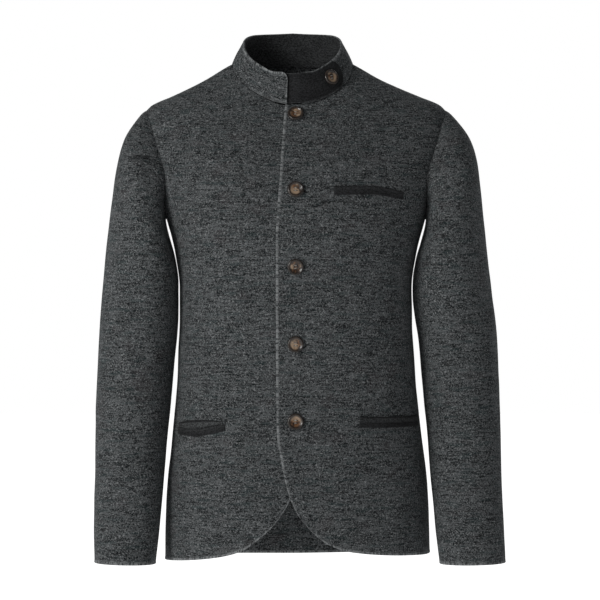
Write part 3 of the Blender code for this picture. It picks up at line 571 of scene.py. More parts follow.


# Folds placed one by one. On a panel a path's points are x and height. On a sleeve they are the
# distance round it, from the underarm by the front, and the height.
Fold = namedtuple("Fold", "path width depth")
FOLD_SHARE_FROM = 0.03
FOLD_SHARE_TO = 0.97
FOLD_TAPER_POWER = 0.7
FRONT_FOLDS = (
    Fold(((0.1115, -0.225), (0.1120, -0.500)), 0.0030, -0.0009),
    Fold(((-0.1040, -0.235), (-0.1030, -0.490)), 0.0030, -0.0008),
    Fold(((0.1960, -0.150), (0.1780, -0.182), (0.1520, -0.208)), 0.0085, -0.0022),
    Fold(((0.1990, -0.120), (0.1850, -0.140), (0.1600, -0.160)), 0.0110, 0.0014),
    Fold(((-0.1870, -0.150), (-0.1700, -0.180), (-0.1450, -0.200)), 0.0090, -0.0020),
    Fold(((-0.1900, -0.180), (-0.1750, -0.215), (-0.1500, -0.240)), 0.0110, 0.0013),
    Fold(((0.1680, -0.385), (0.1400, -0.402), (0.1120, -0.408)), 0.0100, -0.0013),
    Fold(((0.1660, -0.420), (0.1350, -0.432), (0.0900, -0.430)), 0.0120, 0.0011),
    Fold(((-0.1600, -0.372), (-0.1330, -0.392), (-0.1050, -0.400)), 0.0100, -0.0012),
    Fold(((-0.1610, -0.410), (-0.1300, -0.430), (-0.0880, -0.436)), 0.0130, 0.0012),
    Fold(((0.0180, -0.188), (0.0450, -0.196), (0.0700, -0.194)), 0.0090, -0.0008),
    Fold(((0.0180, -0.300), (0.0500, -0.312), (0.0820, -0.316)), 0.0110, -0.0009),
    Fold(((0.0180, -0.408), (0.0480, -0.420), (0.0760, -0.428)), 0.0110, -0.0009),
    Fold(((-0.0300, -0.300), (-0.0650, -0.318), (-0.0950, -0.326)), 0.0130, -0.0009),
    Fold(((-0.0300, -0.520), (-0.0500, -0.560), (-0.0620, -0.620)), 0.0140, 0.0014),
    Fold(((0.0500, -0.540), (0.0640, -0.600), (0.0740, -0.660)), 0.0150, 0.0014),
    Fold(((0.1500, -0.560), (0.1520, -0.640), (0.1500, -0.690)), 0.0170, 0.0016),
    Fold(((-0.1350, -0.560), (-0.1380, -0.640), (-0.1400, -0.690)), 0.0170, 0.0016),
)
BACK_FOLDS = (
    Fold(((0.0040, -0.330), (0.0060, -0.460), (0.0050, -0.600)), 0.0200, -0.0024),
    Fold(((0.1920, -0.130), (0.1650, -0.190), (0.1250, -0.235)), 0.0130, -0.0026),
    Fold(((0.1980, -0.165), (0.1750, -0.225), (0.1400, -0.270)), 0.0140, 0.0022),
    Fold(((-0.1820, -0.128), (-0.1500, -0.185), (-0.1120, -0.222)), 0.0130, -0.0024),
    Fold(((-0.1880, -0.170), (-0.1650, -0.230), (-0.1250, -0.280)), 0.0150, 0.0021),
    Fold(((0.1600, -0.372), (0.1100, -0.398), (0.0500, -0.402)), 0.0120, -0.0022),
    Fold(((0.1580, -0.414), (0.1050, -0.436), (0.0350, -0.440)), 0.0140, 0.0020),
    Fold(((-0.1500, -0.366), (-0.0980, -0.390), (-0.0400, -0.398)), 0.0120, -0.0020),
    Fold(((-0.1480, -0.408), (-0.0960, -0.430), (-0.0300, -0.436)), 0.0150, 0.0019),
    Fold(((0.1100, -0.480), (0.1160, -0.580), (0.1180, -0.690)), 0.0200, 0.0026),
    Fold(((-0.0960, -0.480), (-0.1040, -0.580), (-0.1080, -0.700)), 0.0200, 0.0025),
    Fold(((-0.0500, -0.092), (0.0040, -0.104), (0.0580, -0.092)), 0.0100, -0.0014),
)
SLEEVE_FOLDS = (
    Fold(((0.050, -0.395), (0.095, -0.408), (0.140, -0.402)), 0.0085, -0.0026),
    Fold(((0.030, -0.425), (0.085, -0.434), (0.150, -0.424)), 0.0080, 0.0021),
    Fold(((0.040, -0.452), (0.090, -0.462), (0.135, -0.456)), 0.0085, -0.0024),
    Fold(((0.060, -0.372), (0.110, -0.380), (0.160, -0.366)), 0.0090, 0.0015),
    Fold(((0.070, -0.500), (0.120, -0.516), (0.165, -0.520)), 0.0100, -0.0014),
    Fold(((0.020, -0.262), (0.070, -0.240), (0.120, -0.206)), 0.0100, -0.0022),
    Fold(((0.030, -0.300), (0.085, -0.282), (0.130, -0.252)), 0.0110, 0.0017),
    Fold(((0.350, -0.262), (0.300, -0.236), (0.250, -0.196)), 0.0110, -0.0026),
    Fold(((0.340, -0.306), (0.285, -0.286), (0.235, -0.250)), 0.0120, 0.0020),
    Fold(((0.300, -0.396), (0.260, -0.420), (0.225, -0.430)), 0.0100, -0.0016),
    Fold(((0.280, -0.470), (0.240, -0.486), (0.210, -0.480)), 0.0110, -0.0014),
    Fold(((0.100, -0.600), (0.120, -0.650), (0.125, -0.700)), 0.0120, 0.0012),
)
UNEVEN_STEPS = (0.090, 0.032)
UNEVEN_SHARES = (0.75, 0.25)
SLEEVE_SEEDS = {1: 3.7, -1: 11.3}
# Folds that only the left (1) or the right (-1) sleeve has
OWN_SLEEVE_FOLDS = {
    1: (Fold(((0.152, -0.126), (0.138, -0.140), (0.126, -0.156)), 0.0045, -0.0026),),
    -1: (
        Fold(((0.212, -0.132), (0.165, -0.137), (0.108, -0.138)), 0.0034, -0.0058),
        Fold(((0.208, -0.142), (0.165, -0.146), (0.112, -0.146)), 0.0060, 0.0030),
    ),
}
SLEEVE_HEAD_FADE = 0.025
ROLL_MIDDLE = 0.0013
ROLL_WIDTH = 0.0017
# Where the pale edge colour is full and where it has ended; it is partly a painted highlight of the rim
EDGE_FULL = 0.0024
EDGE_END = 0.0044
SEAM_WIDTH = 0.0042
RIM_ROUNDING = 0.0008
RIM_SEGMENTS = 2
SHARP_ANGLE = math.radians(50)
# How much longer the leaning yoke is than its own height, and the height over which it leans
YOKE_LEAN_BACK = 0.035
YOKE_DEPTH = 0.17


def fold_relief(folds, places):
    """Height of the listed folds over the smooth cloth, at places of two numbers each."""
    total = np.zeros(places.shape[:-1])
    for fold in folds:
        path = np.array(fold.path)
        nearest = np.full(total.shape, np.inf)
        passed = np.zeros(total.shape)
        for number, (start, end) in enumerate(zip(path, path[1:])):
            along = end - start
            share = np.clip((places - start) @ along / (along @ along), 0, 1)
            distance = np.linalg.norm(places - (start + share[..., None] * along), axis=-1)
            passed = np.where(distance < nearest, (number + share) / (len(path) - 1), passed)
            nearest = np.minimum(nearest, distance)
        passed = np.clip(passed, FOLD_SHARE_FROM, FOLD_SHARE_TO)
        taper = np.sin(math.pi * passed) ** FOLD_TAPER_POWER
        total += fold.depth * taper * np.exp(-((nearest / fold.width) ** 2))
    return total


def unevenness(points, seed=0.0):
    """Slow random rise and fall of soft cloth, about -1 to 1, the same at every run."""
    total = np.zeros(points.shape[:-1])
    flat = points.reshape(-1, 3)
    for step, share in zip(UNEVEN_STEPS, UNEVEN_SHARES):
        values = [noise.noise(Vector(point) / step + Vector((seed, seed, 0))) for point in flat]
        total += share * np.array(values).reshape(total.shape)
    return total


def arcs(points, axis):
    """Distance passed along one axis of a grid of points."""
    steps = np.linalg.norm(np.diff(points, axis=axis), axis=-1)
    start = np.zeros_like(np.take(steps, [0], axis=axis))
    return np.concatenate((start, np.cumsum(steps, axis=axis)), axis=axis)


def edge_distance(points, sides):
    """Distance of each grid point from the free edges, and the place along the nearest one."""
    down = arcs(points, 0)
    right = arcs(points, 1)
    ways = {
        "low": (down, right[:1]),
        "high": (down[-1:] - down, right[-1:] + EDGE_STARTS["high"]),
        "first": (right, down[:, :1] + EDGE_STARTS["first"]),
        "last": (right[:, -1:] - right, down[:, -1:] + EDGE_STARTS["last"]),
    }
    nearest = np.full(points.shape[:2], 1.0)
    along = np.zeros(points.shape[:2])
    for side in sides:
        distance, place = ways[side]
        along = np.where(distance < nearest, place, along)
        nearest = np.minimum(nearest, distance)
    return nearest, along


def edge_roll(distance):
    """Share of its full height that the stitched edge roll has at a distance from the edge."""
    return np.exp(-(((distance - ROLL_MIDDLE) / ROLL_WIDTH) ** 2))


def edge_colour(distance):
    """How much of the pale edge colour shows at a distance from the edge. That colour is partly the cut
    edge's paler colour and partly a painted highlight of the rim catching the light.
    """
    return 1 - ease((distance - EDGE_FULL) / (EDGE_END - EDGE_FULL))


def seam_dip(distance):
    return np.exp(-((distance / SEAM_WIDTH) ** 2))


def column_list():
    """Columns of a panel: 0 is its edge or middle, 1 the neck's corner and 2 the armhole.

    Up to the corner they turn round the neck hole. They stand closer at the free edge and at
    the armhole.
    """
    return np.concatenate((np.sin(EDGE_COLUMNS * math.pi / 2), 1 + ARM_COLUMNS))


def column_across(side, columns, start, corner, level):
    """Across values, without their sign, of columns at a level."""
    to_neck = start + (corner - start) * np.minimum(columns, 1)
    return to_neck + (armhole(side, level) - corner) * np.maximum(columns - 1, 0)


def yoke_rises():
    return (np.arange(1, YOKE_ROWS + 1) / YOKE_ROWS) ** YOKE_ROW_POWER


def front_grid(mirror, edge_table, hem_table):
    """Across and level values of a front. mirror is 1 on +X."""

    def edge_across(level):
        """The across value of the front edge, from its height at the middle of the body."""
        height = torso(-1, 0.0, level)[..., 2]
        return mirror * across_at(-1, mirror * read(edge_table, "height", "out", height), level)

    corner = neck_corner(-1, mirror)

    def path(columns, level):
        return mirror * column_across(-1, columns, edge_across(level), corner, level)

    columns = column_list()
    low_edge = edge_table[0].height
    hem_x = torso(-1, path(columns, low_edge), low_edge)[..., 0]
    hem = read(hem_table, "out", "height", np.abs(hem_x))
    across_rows = []
    level_rows = []
    for climb in HEM_ROWS:
        edge_level = low_edge + (WAIST_LINE - low_edge) * climb
        across_rows.append(path(columns, np.full_like(columns, edge_level)))
        level_rows.append(hem + (WAIST_LINE - hem) * climb)
    for height in np.linspace(WAIST_LINE, CHEST_LEVEL, SIDE_ROWS + 1):
        level = np.full_like(columns, height)
        across_rows.append(path(columns, level))
        level_rows.append(level)
    tops = column_top(-1, path, columns)
    for rise in yoke_rises():
        level = CHEST_LEVEL + rise * tops
        across_rows.append(path(columns, level))
        level_rows.append(level)
    return np.array(across_rows), np.array(level_rows)


def back_grid():
    """Across and level values of the back."""

    corner = neck_corner(1, 1)

    def path(columns, level):
        return np.sign(columns) * column_across(1, np.abs(columns), 0, corner, level)

    half = column_list()
    columns = np.concatenate((-half[:0:-1], half))
    hem_x = torso(1, path(columns, WAIST_LINE), WAIST_LINE)[..., 0]
    hem = read(BACK_HEM, "out", "height", hem_x)
    level_rows = [hem + (WAIST_LINE - hem) * climb for climb in HEM_ROWS]
    level_rows += [np.full_like(columns, z) for z in np.linspace(WAIST_LINE, CHEST_LEVEL, SIDE_ROWS + 1)]
    tops = column_top(1, path, columns)
    level_rows += [CHEST_LEVEL + rise * tops for rise in yoke_rises()]
    levels = np.array(level_rows)
    return path(columns, levels), levels


def tucked(points):
    """How far the under front is moved in, where the top front lies on it."""
    edge = read(TOP_FRONT_EDGE, "height", "out", points[..., 2])
    return (WALL + OVERLAP_GAP) * ease((points[..., 0] - edge + TUCK_REACH) / TUCK_WIDTH)


def panel_points(side, across, level, under, uneven):
    """Outer points and outward normals of a panel, with its folds and its half of the seam gap."""
    points = torso(side, across, level)
    normals = torso_normal(side, across, level)
    if under:
        points = points - normals * tucked(points)[..., None]
    folds = FRONT_FOLDS if side < 0 else BACK_FOLDS
    lift = fold_relief(folds, points[..., [0, 2]]) + uneven * unevenness(points)
    points = points + normals * lift[..., None]
    points[..., 1] += side * SEAM_GAP / 2
    return points, normals


def grid_normals(points, closed):
    """Normals of a grid of points, from the points beside each."""
    if closed:
        along = np.roll(points, -1, axis=1) - np.roll(points, 1, axis=1)
    else:
        along = np.gradient(points, axis=1)
    up = np.gradient(points, axis=0)
    return unit(np.cross(along, up))


def seam_start(edge, out_of_panel, normal, next_row):
    """First row of a piece that is sewn to a panel's edge.

    Returns its outer points and the direction from them through the wall. The wall turns
    away from the panel, so that the two walls stay apart at every angle between them.
    """
    leave = unit(next_row - edge)
    turn = np.arctan2((leave * normal).sum(-1), (leave * out_of_panel).sum(-1))
    turn = np.clip(turn, 0, MOST_SEAM_TURN)[..., None]
    inward = np.sin(turn) * out_of_panel - np.cos(turn) * normal
    start = edge + SEAM_STEP * (out_of_panel + normal * np.sin(turn / 2))
    return start, inward


def finished_mesh(name, shape):
    """The mesh of a bmesh, which is freed."""
    mesh = bpy.data.meshes.new(name)
    shape.to_mesh(mesh)
    shape.free()
    return mesh


def add_object(name, data):
    """A new object of the scene with this data."""
    made = bpy.data.objects.new(name, data)
    bpy.context.collection.objects.link(made)
    return made


def add_smooth_object(name, mesh):
    """A new object whose mesh is shaded smooth, with its sharp edges kept."""
    mesh.shade_smooth()
    mesh.set_sharp_from_angle(angle=SHARP_ANGLE)
    return add_object(name, mesh)


def cloth_wall(name, outer, inner, closed, uv, distance, along, material, pale=None, pale_inside=None):
    """A closed wall of cloth between two grids of points, with soft free edges.

    uv has one column more than the grids where the wall is closed round. distance and along
    are the place of each point against the free edges. pale and pale_inside are how much of
    the pale colour the two sides show, where that distance doesn't set it. Along free edges that
    colour is partly the cut edge's paler colour and partly a painted highlight; on the welts it is
    a painted highlight on the roll.
    """
    pale = edge_colour(distance) if pale is None else pale
    pale_inside = edge_colour(distance) if pale_inside is None else pale_inside
    rows, columns = outer.shape[:2]
    across = columns + 1 if closed else columns
    shell = bmesh.new()
    place = shell.verts.layers.int.new("place")
    # Share of the pale colour: along free edges partly a painted highlight, on the welts a painted
    # highlight on the roll
    edge_layer = shell.verts.layers.float.new("edge")
    along_layer = shell.verts.layers.float.new("along")
    bmesh.ops.create_grid(shell, x_segments=across - 1, y_segments=rows - 1, size=1.0)
    uv_layer = shell.loops.layers.uv.new("cloth")
    for vertex in shell.verts:
        column = round((vertex.co.x + 1) / 2 * (across - 1))
        row = round((vertex.co.y + 1) / 2 * (rows - 1))
        for loop in vertex.link_loops:
            loop[uv_layer].uv = uv[row, column]
        column %= columns
        vertex[place] = row * columns + column
        vertex[edge_layer] = float(pale[row, column])
        vertex[along_layer] = float(along[row, column])
        vertex.co = Vector(outer[row, column])
    if closed:
        bmesh.ops.remove_doubles(shell, verts=shell.verts, dist=CLOTH_MERGE)
    grown = bmesh.ops.extrude_face_region(shell, geom=shell.faces[:], use_keep_orig=True)
    for part in grown["geom"]:
        if isinstance(part, bmesh.types.BMVert):
            row, column = divmod(part[place], columns)
            part.co = Vector(inner[row, column])
            part[edge_layer] = float(pale_inside[row, column])
    bmesh.ops.recalc_face_normals(shell, faces=shell.faces)
    if shell.calc_volume(signed=True) < 0:
        bmesh.ops.reverse_faces(shell, faces=shell.faces)
    free = (distance < RIM_TOLERANCE).reshape(-1)
    rims = []
    for edge in shell.edges:
        on_rim = all(free[vertex[place]] for vertex in edge.verts)
        if on_rim and len(edge.link_faces) == 2 and edge.calc_face_angle() > SHARP_ANGLE:
            rims.append(edge)
    if rims:
        bmesh.ops.bevel(
            shell, geom=rims, offset=RIM_ROUNDING, offset_type="OFFSET", segments=RIM_SEGMENTS,
            profile=0.5, affect="EDGES", material=-1, clamp_overlap=True,
        )
    mesh = finished_mesh(name, shell)
    mesh.materials.append(material)
    return add_smooth_object(name, mesh)


def cut_size(points, closed):
    """Greatest width and length of a grid of cloth, and its area."""
    if closed:
        points = np.concatenate((points, points[:, :1]), axis=1)
    width = arcs(points, 1)[:, -1].max()
    length = arcs(points, 0)[-1].max()
    first = np.cross(points[1:, 1:] - points[:-1, :-1], points[1:, :-1] - points[:-1, 1:])
    area = np.linalg.norm(first, axis=-1).sum() / 2
    return (float(width), float(length)), float(min(area, width * length))


def dress(piece, node, points, closed):
    """Puts a cloth piece in its CAD node's place, if it has one, and works out its cut size, which nothing
    uses.
    """
    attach(piece, "root")
    if node:
        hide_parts(node)
    flat, area = cut_size(points, closed)


Panel = namedtuple("Panel", "points normals plain uv distance along")


def panel_form(side, grid, under, sides, seams, settings):
    """Outer points of a body panel with its folds, edge rolls and seam dips."""
    plain, normals = panel_points(side, grid[0], grid[1], under, settings.uneven)
    distance, along = edge_distance(plain, sides)
    seam = edge_distance(plain, seams)[0]
    lift = settings.roll * edge_roll(distance) - settings.dip * seam_dip(seam)
    lift[-1] = np.minimum(lift[-1], 0)
    points = plain + normals * lift[..., None]
    height = plain[..., 2] + YOKE_LEAN_BACK * ease(1 + plain[..., 2] / YOKE_DEPTH)
    start = plain[:, :1, 0]
    uv = np.stack((arcs(plain, 1) + np.abs(start), height), axis=-1)
    return Panel(points, normals, plain, uv, distance, along)


def armhole_edge(panel, column):
    """A panel's points, normals and directions out of its edge, from underarm to shoulder."""
    points, normals = panel[:2]
    points = points[-YOKE_ROWS - 1 :, column]
    normals = normals[-YOKE_ROWS - 1 :, column]
    tangent = np.gradient(points, axis=0)
    out = unit(np.cross(normals, tangent))
    away = np.sign((out * (points - [0, 0, ARMHOLE_MIDDLE])).sum(-1))
    return points, normals, out * np.sign(np.median(away))


def armhole_loop(front, front_column, back, back_column):
    """The closed armhole, up its front and down its back."""
    ahead = armhole_edge(front, front_column)
    behind = armhole_edge(back, back_column)
    loop = []
    for first, second in zip(ahead, behind):
        joined = np.concatenate((first, second[::-1][1:-1]))
        joined[0] = (first[0] + second[0]) / 2
        joined[YOKE_ROWS] = (first[-1] + second[-1]) / 2
        loop.append(joined)
    points, normals, out = loop
    return points, unit(normals), unit(out)


def section_ring(section, mirror, turn):
    """Points of one sleeve section at angles from its outer line, through its front."""
    side = "left" if mirror > 0 else "right"
    out_drift = float(read(SLEEVE_DRIFT, "height", f"{side}_out", section.out_z))
    in_drift = float(read(SLEEVE_DRIFT, "height", f"{side}_in", section.in_z))
    outer = np.array((mirror * section.out_x + out_drift, 0, section.out_z))
    inner = np.array((mirror * section.in_x + in_drift, 0, section.in_z))
    middle = (outer + inner) / 2 + [0, section.middle, 0]
    half = (outer - inner) / 2
    reach = np.abs(np.cos(turn)) ** SLEEVE_ROUNDNESS + np.abs(np.sin(turn)) ** SLEEVE_ROUNDNESS
    reach = (reach ** (-1 / SLEEVE_ROUNDNESS))[..., None]
    forward = np.array((0, -section.half_depth, 0))
    return middle + reach * (np.cos(turn)[..., None] * half + np.sin(turn)[..., None] * forward)


def clear_of_body(points, mirror):
    """Moves sleeve points sideways until they are clear of the body's side."""
    x = mirror * (points[..., 0] - read(BODY_LEAN, "height", "shift", points[..., 2]))
    height = np.minimum(points[..., 2], CHEST_LEVEL)
    limits = []
    for side in (-1, 1):
        half_width, depth = body_ring(side, height)
        share = np.clip(1 - np.abs(points[..., 1] / depth) ** SQUARENESS, 0, 1)
        limits.append(half_width * share ** (1 / SQUARENESS))
    limit = np.where(points[..., 1] < 0, limits[0], limits[1]) + SLEEVE_CLEARANCE
    moved = points.copy()
    below = points[..., 2] < CHEST_LEVEL
    moved[..., 0] += mirror * np.where(below, np.maximum(limit - x, 0), 0)
    return moved


def section_steps():
    """Places of the sleeve's rings, counted in sections."""
    last = len(SLEEVE_SECTIONS) - 1
    steps = np.arange(last * RINGS_PER_SECTION) / RINGS_PER_SECTION
    return np.concatenate((steps[steps < CUFF_RING_STEPS[0]], CUFF_RING_STEPS))


def section_between(number):
    """The sleeve section at a place between two of the table's."""
    places = range(len(SLEEVE_SECTIONS))
    return Section(*(float(smooth(places, column, number)) for column in zip(*SLEEVE_SECTIONS)))


def sleeve_rings(loop, mirror):
    """All rings of a sleeve, from the armhole loop down to the cuff."""
    steps = np.linalg.norm(np.diff(np.concatenate((loop, loop[:1])), axis=0), axis=1)
    passed = np.concatenate(([0], np.cumsum(steps)[:-1])) / steps.sum()
    count = len(loop)
    top = passed[YOKE_ROWS]
    sewn = np.where(passed <= top, passed / top / 2, 0.5 + (passed - top) / (1 - top) / 2)
    even = np.arange(count) / count
    rings = []
    first = None
    for number in section_steps():
        section = section_between(number)
        settle = ease(number / ARMHOLE_SHAPE_FADES)
        share = sewn + (even - sewn) * settle
        ring = section_ring(section, mirror, math.pi - share * 2 * math.pi)
        if first is None:
            first = loop - ring
        rings.append(ring + first * (1 - settle))
    rings = np.array(rings)
    rings[1:] = clear_of_body(rings[1:], mirror)
    return rings


def add_sleeve(name, node, fronts, front_column, back, back_column, mirror, settings, material):
    """One sleeve, sewn to its front and back panels."""
    loop, normals, out = armhole_loop(fronts, front_column, back, back_column)
    plain_front = (fronts.plain, fronts.normals)
    plain_back = (back.plain, back.normals)
    plain_loop = armhole_loop(plain_front, front_column, plain_back, back_column)[0]
    rings = sleeve_rings(plain_loop, mirror)
    ring_normals = grid_normals(rings, True)
    centre = rings.mean(axis=1, keepdims=True)
    ring_normals *= np.sign(((rings - centre) * ring_normals).sum())
    down = arcs(rings, 0)
    round_it = arcs(np.concatenate((rings, rings[:, :1]), axis=1), 1)
    level = RINGS_PER_SECTION * ARMHOLE_SHAPE_FADES
    height = rings[level : level + 1, :, 2] - (down - down[level])
    height = np.concatenate((height, height[:, :1]), axis=1)
    uv = np.stack((round_it + mirror * SLEEVE_MAP_START, height), axis=-1)
    distance, along = edge_distance(rings, ("high",))
    places = np.stack((round_it[:, :-1], rings[..., 2]), axis=-1)
    lift = settings.roll * edge_roll(distance) - settings.dip * seam_dip(down)
    fade = ease(down / SLEEVE_HEAD_FADE)
    lift += fold_relief(SLEEVE_FOLDS + OWN_SLEEVE_FOLDS[mirror], places) * fade
    lift += settings.uneven * unevenness(rings, SLEEVE_SEEDS[mirror]) * fade
    outer = rings + ring_normals * lift[..., None]
    outer = clear_of_body(outer, mirror)
    start, inward = seam_start(loop, out, normals, plain_loop + rings[RINGS_PER_SECTION] - rings[0])
    outer[0] = start
    through = -ring_normals
    turned = ease(down / SEAM_TURN_REACH)[..., None]
    through = unit(through * turned + inward * (1 - turned))
    piece = cloth_wall(name, outer, outer + through * WALL, True, uv, distance, along, material)
    dress(piece, node, outer, True)


def neck_line(panel, columns):
    """The neck edge of a panel: points, normals and the direction out of the panel."""
    points, normals = panel[:2]
    edge = points[-1, columns]
    normal = normals[-1, columns]
    below = points[-2, columns]
    tangent = np.gradient(edge, axis=0)
    out = unit(np.cross(normal, tangent))
    flip = np.sign(((edge - below) * out).sum(-1))[..., None]
    return edge, normal, out * flip


def neck_angle(points):
    """Angle round the neck in degrees: 0 in front, 90 towards +X, 180 behind."""
    depth = np.where(points[..., 1] < 0, NECK_FRONT, NECK_BACK)
    return np.degrees(np.arctan2(points[..., 0] / NECK_HALF, -points[..., 1] / depth))


def whole_neck(front_left, front_right, back):
    """The neck edge all round, from the middle of the front by +X to the middle again.

    Returns angle, points, normals and directions out of the panels. Angles pass 180 behind
    and end near 360, which is the front's middle again, seen from -X.
    """
    left = neck_line(front_left, slice(0, EDGE_TO_NECK + 1))
    middle = front_columns() - 1
    behind = neck_line(back, slice(middle - EDGE_TO_NECK, middle + EDGE_TO_NECK + 1))
    right = neck_line(front_right, slice(0, EDGE_TO_NECK + 1))
    rows = []
    for ahead, aft, last in zip(left, behind, right):
        corner = (ahead[-1] + aft[-1]) / 2
        other = (last[-1] + aft[0]) / 2
        rows.append(np.concatenate((ahead[:-1], [corner], aft[::-1][1:-1], [other], last[::-1][1:])))
    points, normals, out = rows
    angle = neck_angle(points) % 360
    angle[: EDGE_TO_NECK] = neck_angle(points[: EDGE_TO_NECK])
    last = angle[-EDGE_TO_NECK - 1 :]
    angle[-EDGE_TO_NECK - 1 :] = np.where(last < 180, last + 360, last)
    return angle, points, unit(normals), unit(out)


def front_columns():
    return EDGE_TO_NECK + NECK_TO_ARM + 1


def collar_top_point(angle):
    """A point of the collar's top edge at an angle round the neck, in degrees."""
    turn = np.radians(angle)
    folded = np.degrees(np.arccos(np.clip(np.cos(turn), -1, 1)))
    depth = np.where(np.cos(turn) > 0, COLLAR_TOP_FRONT, COLLAR_TOP_BACK)
    x = COLLAR_TOP_HALF * np.sin(turn)
    y = -depth * np.cos(turn)
    return np.stack((x, y, read(COLLAR_TOP, "angle", "height", folded)), axis=-1)


def collar_surface(neck, angles, shares):
    """Outer points and outward directions of the collar's cloth.

    angles are in degrees round the neck and shares run from the seam, 0, to the top edge, 1.
    """
    at, points, normals, out = neck

    def spread(values):
        return np.stack([np.interp(angles, at, values[:, k]) for k in range(3)], axis=-1)

    edge = spread(points)
    normal = unit(spread(normals))
    outward = unit(spread(out))
    top = collar_top_point(angles)
    start, inward = seam_start(edge, outward, normal, edge + (top - edge) * COLLAR_LEAVE_SHARE)
    rise = np.asarray(shares, float)
    shape = start + (top - start) * rise[..., None]
    turn = np.radians(angles)
    depth = np.where(np.cos(turn) > 0, COLLAR_TOP_FRONT, COLLAR_TOP_BACK)
    level_out = unit(np.stack((depth * np.sin(turn), -COLLAR_TOP_HALF * np.cos(turn), 0 * turn), axis=-1))
    shape = shape + level_out * (COLLAR_BULGE * np.sin(math.pi * rise))[..., None]
    lean = unit(top - start)
    side = unit(level_out - lean * (level_out * lean).sum(-1, keepdims=True))
    blend = ease(rise / COLLAR_TURN_SHARE)[..., None]
    direction = unit(side * blend - inward * (1 - blend))
    return shape, direction


def collar_angles(neck, start, end):
    """The neck's own columns between two angles, with both ends."""
    at = neck[0]
    own = at[(at > start + COLUMN_CLEARANCE) & (at < end - COLUMN_CLEARANCE)]
    return np.concatenate(([start], own, [end]))


def collar_shares(angles, start, end, low, high):
    """Grid of shares up the collar, with the top corners rounded off at both ends."""
    near = np.minimum(angles - start, end - angles)
    corner = np.clip(1 - near / COLLAR_CORNER_ANGLE, 0, 1)
    top = high - COLLAR_CORNER_DROP * (1 - np.sqrt(1 - corner**2))
    steps = np.linspace(0, 1, COLLAR_ROWS + 1)[:, None]
    return low + (top - low) * steps


def densify(angles, start, end):
    """Adds columns at the two rounded corners."""
    left = [start + COLLAR_CORNER_ANGLE * share for share in COLLAR_CORNER_STEPS]
    right = [end - COLLAR_CORNER_ANGLE * share for share in COLLAR_CORNER_STEPS]
    middle = angles[(angles > left[-1] + CORNER_CLEARANCE) & (angles < right[-1] - CORNER_CLEARANCE)]
    return np.concatenate(([start], left, middle, right[::-1], [end]))


def tab_offset(angles):
    """Distance of the tab's inner side from the collar's outer side."""
    inside = -(COLLAR_WALL + TAB_GAP + TAB_WALL)
    outside = TAB_GAP
    share = ease((angles - TAB_INSIDE_UNTIL) / (TAB_OUTSIDE_FROM - TAB_INSIDE_UNTIL))
    return inside + (outside - inside) * share


def wrapped_neck(neck):
    """The neck's columns repeated below 0 degrees, so that the tab can cross the front's middle."""
    at = neck[0]
    before = (at > 180) & (at - 360 < at[0] - CORNER_CLEARANCE)
    after = at < 180
    turns = [np.concatenate((at[before] - 360, at[after]))]
    return turns + [np.concatenate((values[before], values[after])) for values in neck[1:]]


Settings = namedtuple("Settings", "roll dip uneven")


@lru_cache
def body_forms(settings):
    """The three body panels: left front, right front and back."""
    top_grid = front_grid(1, TOP_FRONT_EDGE, TOP_FRONT_HEM)
    under_grid = front_grid(-1, UNDER_FRONT_EDGE, UNDER_FRONT_HEM)
    left = panel_form(-1, top_grid, False, ("first", "low"), ("last",), settings)
    right = panel_form(-1, under_grid, True, ("first", "low"), ("last",), settings)
    smooth_right = panel_points(-1, under_grid[0], under_grid[1], False, settings.uneven)
    back = panel_form(1, back_grid(), False, ("low",), ("first", "last"), settings)
    centre = (back.points.shape[1] - 1) // 2
    back.uv[..., 0] -= back.uv[:, centre : centre + 1, 0]
    return left, right, smooth_right, back


@lru_cache
def neck_form(settings):
    left, _, smooth_right, back = body_forms(settings)
    return whole_neck(left, smooth_right, back)


def sewing():
    """The cloth settings that shape the pieces."""
    cloth = bpy.context.scene.jacket_cloth
    return Settings(cloth.edge_roll, cloth.seam_dip, cloth.unevenness)


def add_panel(name, node, panel, material):
    inner = panel.points - panel.normals * WALL
    piece = cloth_wall(name, panel.points, inner, False, panel.uv, panel.distance, panel.along, material)
    dress(piece, node, panel.points, False)


def band_uv(points, start):
    """Metric map of a band of cloth, level along its first row."""
    return np.stack((arcs(points, 1) + start, arcs(points, 0)), axis=-1)


def add_collar_bands(neck, settings, wool, charcoal):
    """The collar's outer band and its dark facing."""
    start = COLLAR_RIGHT_END
    for name, node, end, depth, thick, high, material, slot in (
        ("collar_cloth", "collar", 360 + COLLAR_LEFT_END, 0.0, COLLAR_WALL, 1.0, wool, "grey_wool"),
        (
            "collar_facing_cloth", "collar_facing", 360 + FACING_LEFT_END,
            COLLAR_WALL + OVERLAP_GAP, FACING_WALL, FACING_TOP, charcoal, "charcoal_wool",
        ),
    ):
        angles = densify(collar_angles(neck, start, end), start, end)
        low = -FACING_BELOW_SEAM if depth else 0.0
        shares = collar_shares(angles, start, end, low, high)
        wide = np.broadcast_to(angles, shares.shape)
        points, outward = collar_surface(neck, wide, shares)
        outer = points - outward * depth
        inner = outer - outward * thick
        distance, along = edge_distance(outer, ("high", "first", "last"))
        if depth:
            distance = np.full_like(distance, 1.0)
            pale = np.full_like(distance, FACING_WEAR)
            pale_inside = pale
        else:
            lift = settings.roll * edge_roll(distance)
            outer = outer + outward * lift[..., None]
            seam = COLLAR_SEAM_PALE * (1 - ease(arcs(points, 0) / COLLAR_SEAM_LINE - 1))
            from_front = np.minimum(wide, 360 - wide)
            seam *= 1 - ease((from_front - PALE_SEAM_FULL) / (PALE_SEAM_END - PALE_SEAM_FULL))
            pale = np.maximum(edge_colour(distance), seam)
            pale_inside = None
        uv = band_uv(outer, COLLAR_MAP_START)
        piece = cloth_wall(name, outer, inner, False, uv, distance, along, material, pale, pale_inside)
        dress(piece, node, outer, False)


